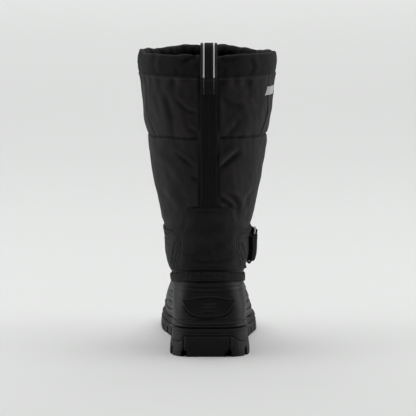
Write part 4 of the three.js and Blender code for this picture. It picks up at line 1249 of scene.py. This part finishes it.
loop = np.concatenate([web_face(0.65 + (0.65 + ribs) * edge - sag), web_face(0.65 - 0.6 * edge - sag)[::-1]])
grid_piece("pull_loop_webbing", loop, [LOOP_WEB], ["pull_loop"])
tacks = (302.5, 305.0, 317.0)
runs = [thread_run(heel_points(np.linspace(-6.6, 10.2, 30), np.full(30, z_at)), 4.1) for z_at in tacks]
stitches("loop_bar_tacks", runs, 1.9, 0.4)

# ---- Ankle strap ---------------------------------------------------------------------------------------------
# Webbing sewn down on the inner side, over the instep, round a wire ring on the outer side and back onto itself;
# the ring is held by a short tab of the same webbing.

STRAP_WEB = webbing("strap_webbing", (0.0022, 0.0022, 0.0022), (0.007, 0.007, 0.0073), 0.8)
nickel = Finish("nickel_wire", Roughness=0.3, Metallic=1.0)
STEEL = nickel.wear(nickel.blend(nickel.cloud(nickel.place(), 3, 3), (0.2, 0.2, 0.2), (0.36, 0.36, 0.35)))
WIRE, STRAP_THICK, STRAP_WIDE = 2.8, 2.0, 31
FRONT_BAR, BACK_BAR = 1.59, 1.41
STRAP_STAND = 3.5
FOLD = WIRE / 2 + 0.8 + STRAP_THICK / 2
strap_low, strap_high = sloping(98, 112, 3), sloping(130, 143, -2)


def strap_lines(shares, angles):
    """Skin points along the strap: one row for each share of its width from its lower edge."""
    return skin_lines(between(strap_low, strap_high, shares), angles)


bars_at = strap_lines([0.5], np.array([BACK_BAR, FRONT_BAR]))[0]
RING_SCALE = np.linalg.norm(bars_at[1] - bars_at[0]) / (FRONT_BAR - BACK_BAR)


def half_turn(t, way):
    """Half a turn of webbing round a bar at angle t, as rows of (angle, stand-off) from its outer side in."""
    turn = np.linspace(0, np.pi, 15)
    off = STRAP_STAND + FOLD + np.cos(turn) * FOLD
    return np.stack([t + way * np.sin(turn) * FOLD / RING_SCALE, off], -1)


def strip(name, path, shares, stands_for):
    """Webbing along a path of (angle, stand-off) over the skin, which may fold back over itself: each point stands
    off along the skin's normal, and the two faces lie half the thickness each side, along the path's own normal."""
    along = np.gradient(path[:, 0]) * RING_SCALE
    rise = np.gradient(path[:, 1])
    length = np.hypot(along, rise)
    edge = rounded(inward(shares) * STRAP_WIDE, 0.9)[:, None]
    ribs = 0.09 * np.cos(shares * STRAP_WIDE * 2 * np.pi / RIB)[:, None]
    faces = []
    for way in (1, -1):
        half = way * (STRAP_THICK / 2 + ribs) * edge
        angle = path[:, 0] - rise / length * half / RING_SCALE
        off = path[:, 1] + along / length * half
        grid = strap_lines(shares, angle)
        faces.append(grid + skin_normals(grid) * off[..., None])
    points = np.concatenate([faces[0], faces[1][::-1]])
    grid_piece(name, points, [STRAP_WEB], [stands_for], turned=True)


def flat(start, end, off, count):
    """A flat run, lifted a little where it bridges the hollow of the instep."""
    t = np.linspace(start, end, count)
    return np.stack([t, off + 1.2 * smooth(1, 0.4, np.abs(t + np.pi))], -1)


whole = 2 * np.pi
strap_path = np.concatenate([
    flat(2.19 - whole, FRONT_BAR + 0.2 - whole, STRAP_STAND + STRAP_THICK + 0.4, 30),
    half_turn(FRONT_BAR - whole, -1),
    flat(FRONT_BAR + 0.13 - whole, -1.85, STRAP_STAND, 120),
])
strip("ankle_strap", strap_path, crowded(18, 1.2, STRAP_WIDE), "strap")
tab_path = np.concatenate([
    np.stack([np.linspace(1.22, BACK_BAR - 0.12, 6), np.full(6, STRAP_STAND)], -1),
    half_turn(BACK_BAR, 1)[::-1],
    np.linspace([BACK_BAR - 0.11, STRAP_STAND + 2 * FOLD - 1], [1.22, STRAP_STAND + 2.4], 6),
])
strip("ring_tab_webbing", tab_path, 0.12 + 0.76 * crowded(14, 1.2, 24), "ring_tab")

# The ring is a rectangle of wire with rounded corners, which bends with the skin.
quarter_turns = np.linspace(0, np.pi / 2, 9)
turns = np.concatenate([quarter_turns + k * np.pi / 2 for k in range(4)])
bend = 2.6
half_wide, half_tall = (FRONT_BAR - BACK_BAR) / 2, 0.55
corner_at = np.repeat([[1, 1], [-1, 1], [-1, -1], [1, -1]], 9, axis=0)
bend_t, bend_share = bend / RING_SCALE, bend / STRAP_WIDE
ring_t = (FRONT_BAR + BACK_BAR) / 2 + corner_at[:, 0] * (half_wide - bend_t) + np.cos(turns) * bend_t
ring_share = 0.5 + corner_at[:, 1] * (half_tall - bend_share) + np.sin(turns) * bend_share
ring_path = np.stack([ring_t * RING_SCALE, ring_share * STRAP_WIDE], -1)[[*range(len(ring_t)), 0]]
travel = np.linspace(0, reached(ring_path)[-1], 133)[:-1]
ring_t, ring_share = (resample(ring_path, travel) / [RING_SCALE, STRAP_WIDE]).T
ring_lines = np.diagonal(strap_lines(ring_share, ring_t)).T
ring_normals = skin_normals(ring_lines)
wire = ring_lines + ring_normals * (STRAP_STAND + FOLD)
ahead = np.roll(wire, -1, axis=0) - np.roll(wire, 1, axis=0)
outward = unit(np.cross(ahead, ring_normals))
turn = (np.arange(14) * 2 * np.pi / 14)[None, :, None]
ring = wire[:, None] + (outward[:, None] * np.cos(turn) + ring_normals[:, None] * np.sin(turn)) * WIRE / 2
grid_piece("wire_ring", ring[:, ::-1], [STEEL], ["strap_ring"], around=True)

# Sewing: a box at the strap's sewn end, and a row across its free end and across the tab.
box_t, box_share = [-1.9, -1.9, -2.08, -2.08, -1.9], [0.1, 0.9, 0.9, 0.1, 0.1]
runs = []
for t_ends, share_ends, stand in (
    (box_t, box_share, STRAP_STAND + 1),
    ([2.13, 2.13], [0.08, 0.92], STRAP_STAND + STRAP_THICK + 1.4),
    ([1.86, 1.86], [0.08, 0.92], STRAP_STAND + STRAP_THICK + 1.4),
    ([1.27, 1.27], [0.18, 0.82], STRAP_STAND + 3.6),
):
    for start in range(len(t_ends) - 1):
        t_run, share_run = (np.linspace(way[start], way[start + 1], 24) for way in (t_ends, share_ends))
        runs.append(thread_run(np.diagonal(strap_lines(share_run, t_run)).T, stand))
stitches("strap_stitching", runs, 2.6, 0.35)

# ---- Shaft sewing and reflective strip -----------------------------------------------------------------------
# Thread along the hem's seam and across the quilting behind, and a plain bonded strip of reflective film on the
# outer side, which leans forward.

around = np.linspace(0, 2 * np.pi, 721)
hem_run = on_shaft(around, 316.8, 0.1)
x, y, _ = on_shaft(around, QUILT_SEAM, 0)[0].T
quilt_run = on_shaft(around, quilt_line(x, y), 0.1)
stitches("hem_stitching", [hem_run], 3.0, 0.32)
quilt_keep = (quilt_run[0][:, 1] < -96) & (np.abs(quilt_run[0][:, 0] - BACK_MIDDLE) > 11)
segments = np.split(np.arange(len(around)), np.flatnonzero(np.diff(quilt_keep.astype(int))) + 1)
segments = [segment for segment in segments if quilt_keep[segment[0]] and len(segment) > 8]
runs = [tuple(part[segment] for part in quilt_run) for segment in segments]
stitches("quilt_stitching", runs, 3.0, 0.3)

foil = Finish("reflective_film", Roughness=0.45, Specular_IOR_Level=0.4)
beads = foil.cloud(foil.place(), 0.5, 2, 0.6)
silver = foil.blend(beads.between(0.3, 0.7), (0.3, 0.3, 0.31), (0.52, 0.52, 0.53))
FILM = foil.wear(silver, None, foil.relief(beads, 0.06))
FILM_LONG, FILM_HIGH = 24, 9.5
strip_across, strip_up = crowded(20, 0.5, FILM_LONG), crowded(8, 0.5, FILM_HIGH)
film_z = 295.2 + FILM_HIGH * strip_up[:, None] + 0 * strip_across
film_t = 1.02 + 0.07 * strip_up[:, None] + 0.36 * strip_across
film_edge = rounded(np.minimum.outer(inward(strip_up) * FILM_HIGH, inward(strip_across) * FILM_LONG), 0.4)
film_face, film_normals = on_shaft(film_t, film_z, 0.0)
film_face = film_face + film_normals * (0.1 + 0.28 * film_edge)[..., None]
film_back = film_face - film_normals * (0.78 * film_edge)[..., None]
film_points = np.concatenate([film_face, film_back[::-1]])
grid_piece("reflective_strip", film_points, [FILM])

# ---- Floor, light and camera ---------------------------------------------------------------------------------
# Pale paper under large softboxes, and a long lens that looks at the boot's heel from a little above.

half = 14.0
floor_mesh = bpy.data.meshes.new("floor")
corners = [(-half, -half, 0), (half, -half, 0), (half, half, 0), (-half, half, 0)]
floor_mesh.from_pydata(corners, [], [(0, 1, 2, 3)])
floor = bpy.data.objects.new("floor", floor_mesh)
bpy.context.scene.collection.objects.link(floor)
paper = Finish("floor_paper", Roughness=0.9, Specular_IOR_Level=0.2)
floor_mesh.materials.append(paper.wear((0.76, 0.77, 0.76, 1)))

world = bpy.data.worlds.new("studio")
world.use_nodes = True
tint, strength = world.node_tree.nodes["Background"].inputs[:2]
tint.default_value, strength.default_value = (0.95, 1.0, 0.98, 1), 0.01
bpy.context.scene.world = world
bpy.context.scene.view_settings.view_transform = "Standard"


def aimed(name, data, place, aim):
    """A light or camera at a place, turned towards what it is aimed at."""
    thing = bpy.data.objects.new(name, data)
    thing.location = place
    thing.rotation_euler = (Vector(aim) - Vector(place)).to_track_quat("-Z", "Y").to_euler()
    bpy.context.scene.collection.objects.link(thing)
    return thing


BOOT = (0, 0, 0.2)
# Each softbox: its place, what it is aimed at, its width and height in metres, and its power in watts.
SOFTBOXES = {
    "left": ((-2.0, 0.15, 0.4), BOOT, 1.7, 0.7, 17),
    "right": ((2.0, 0.15, 0.4), BOOT, 1.7, 0.7, 17),
    "ceiling": ((0, 5.2, 5.0), (0, 5.2, 0), 14, 6.0, 450),
    "far": ((0, 7.0, 3.0), (0, 6.5, 0), 8, 3, 60),
    "top": ((0, -0.2, 2.8), (0, -0.2, 0), 3.6, 1.8, 52),
    "back": ((0, 2.6, 3.0), BOOT, 2.4, 1.6, 9),
    "front": ((0, -5.0, 3.5), BOOT, 4, 3, 3),
}
for side, (place, aim, width, height, power) in SOFTBOXES.items():
    light = bpy.data.lights.new(side + "_softbox", "AREA")
    light.shape = "RECTANGLE"
    light.size, light.size_y, light.energy = width, height, power
    aimed(side + "_softbox", light, place, aim)

lens = bpy.data.cameras.new("camera")
lens.sensor_width, lens.lens, lens.clip_end = 36, 370.5, 60
bpy.context.scene.camera = aimed("camera", lens, (0, -4.9627, 0.7883), (0.0009, 0, 0.1512))
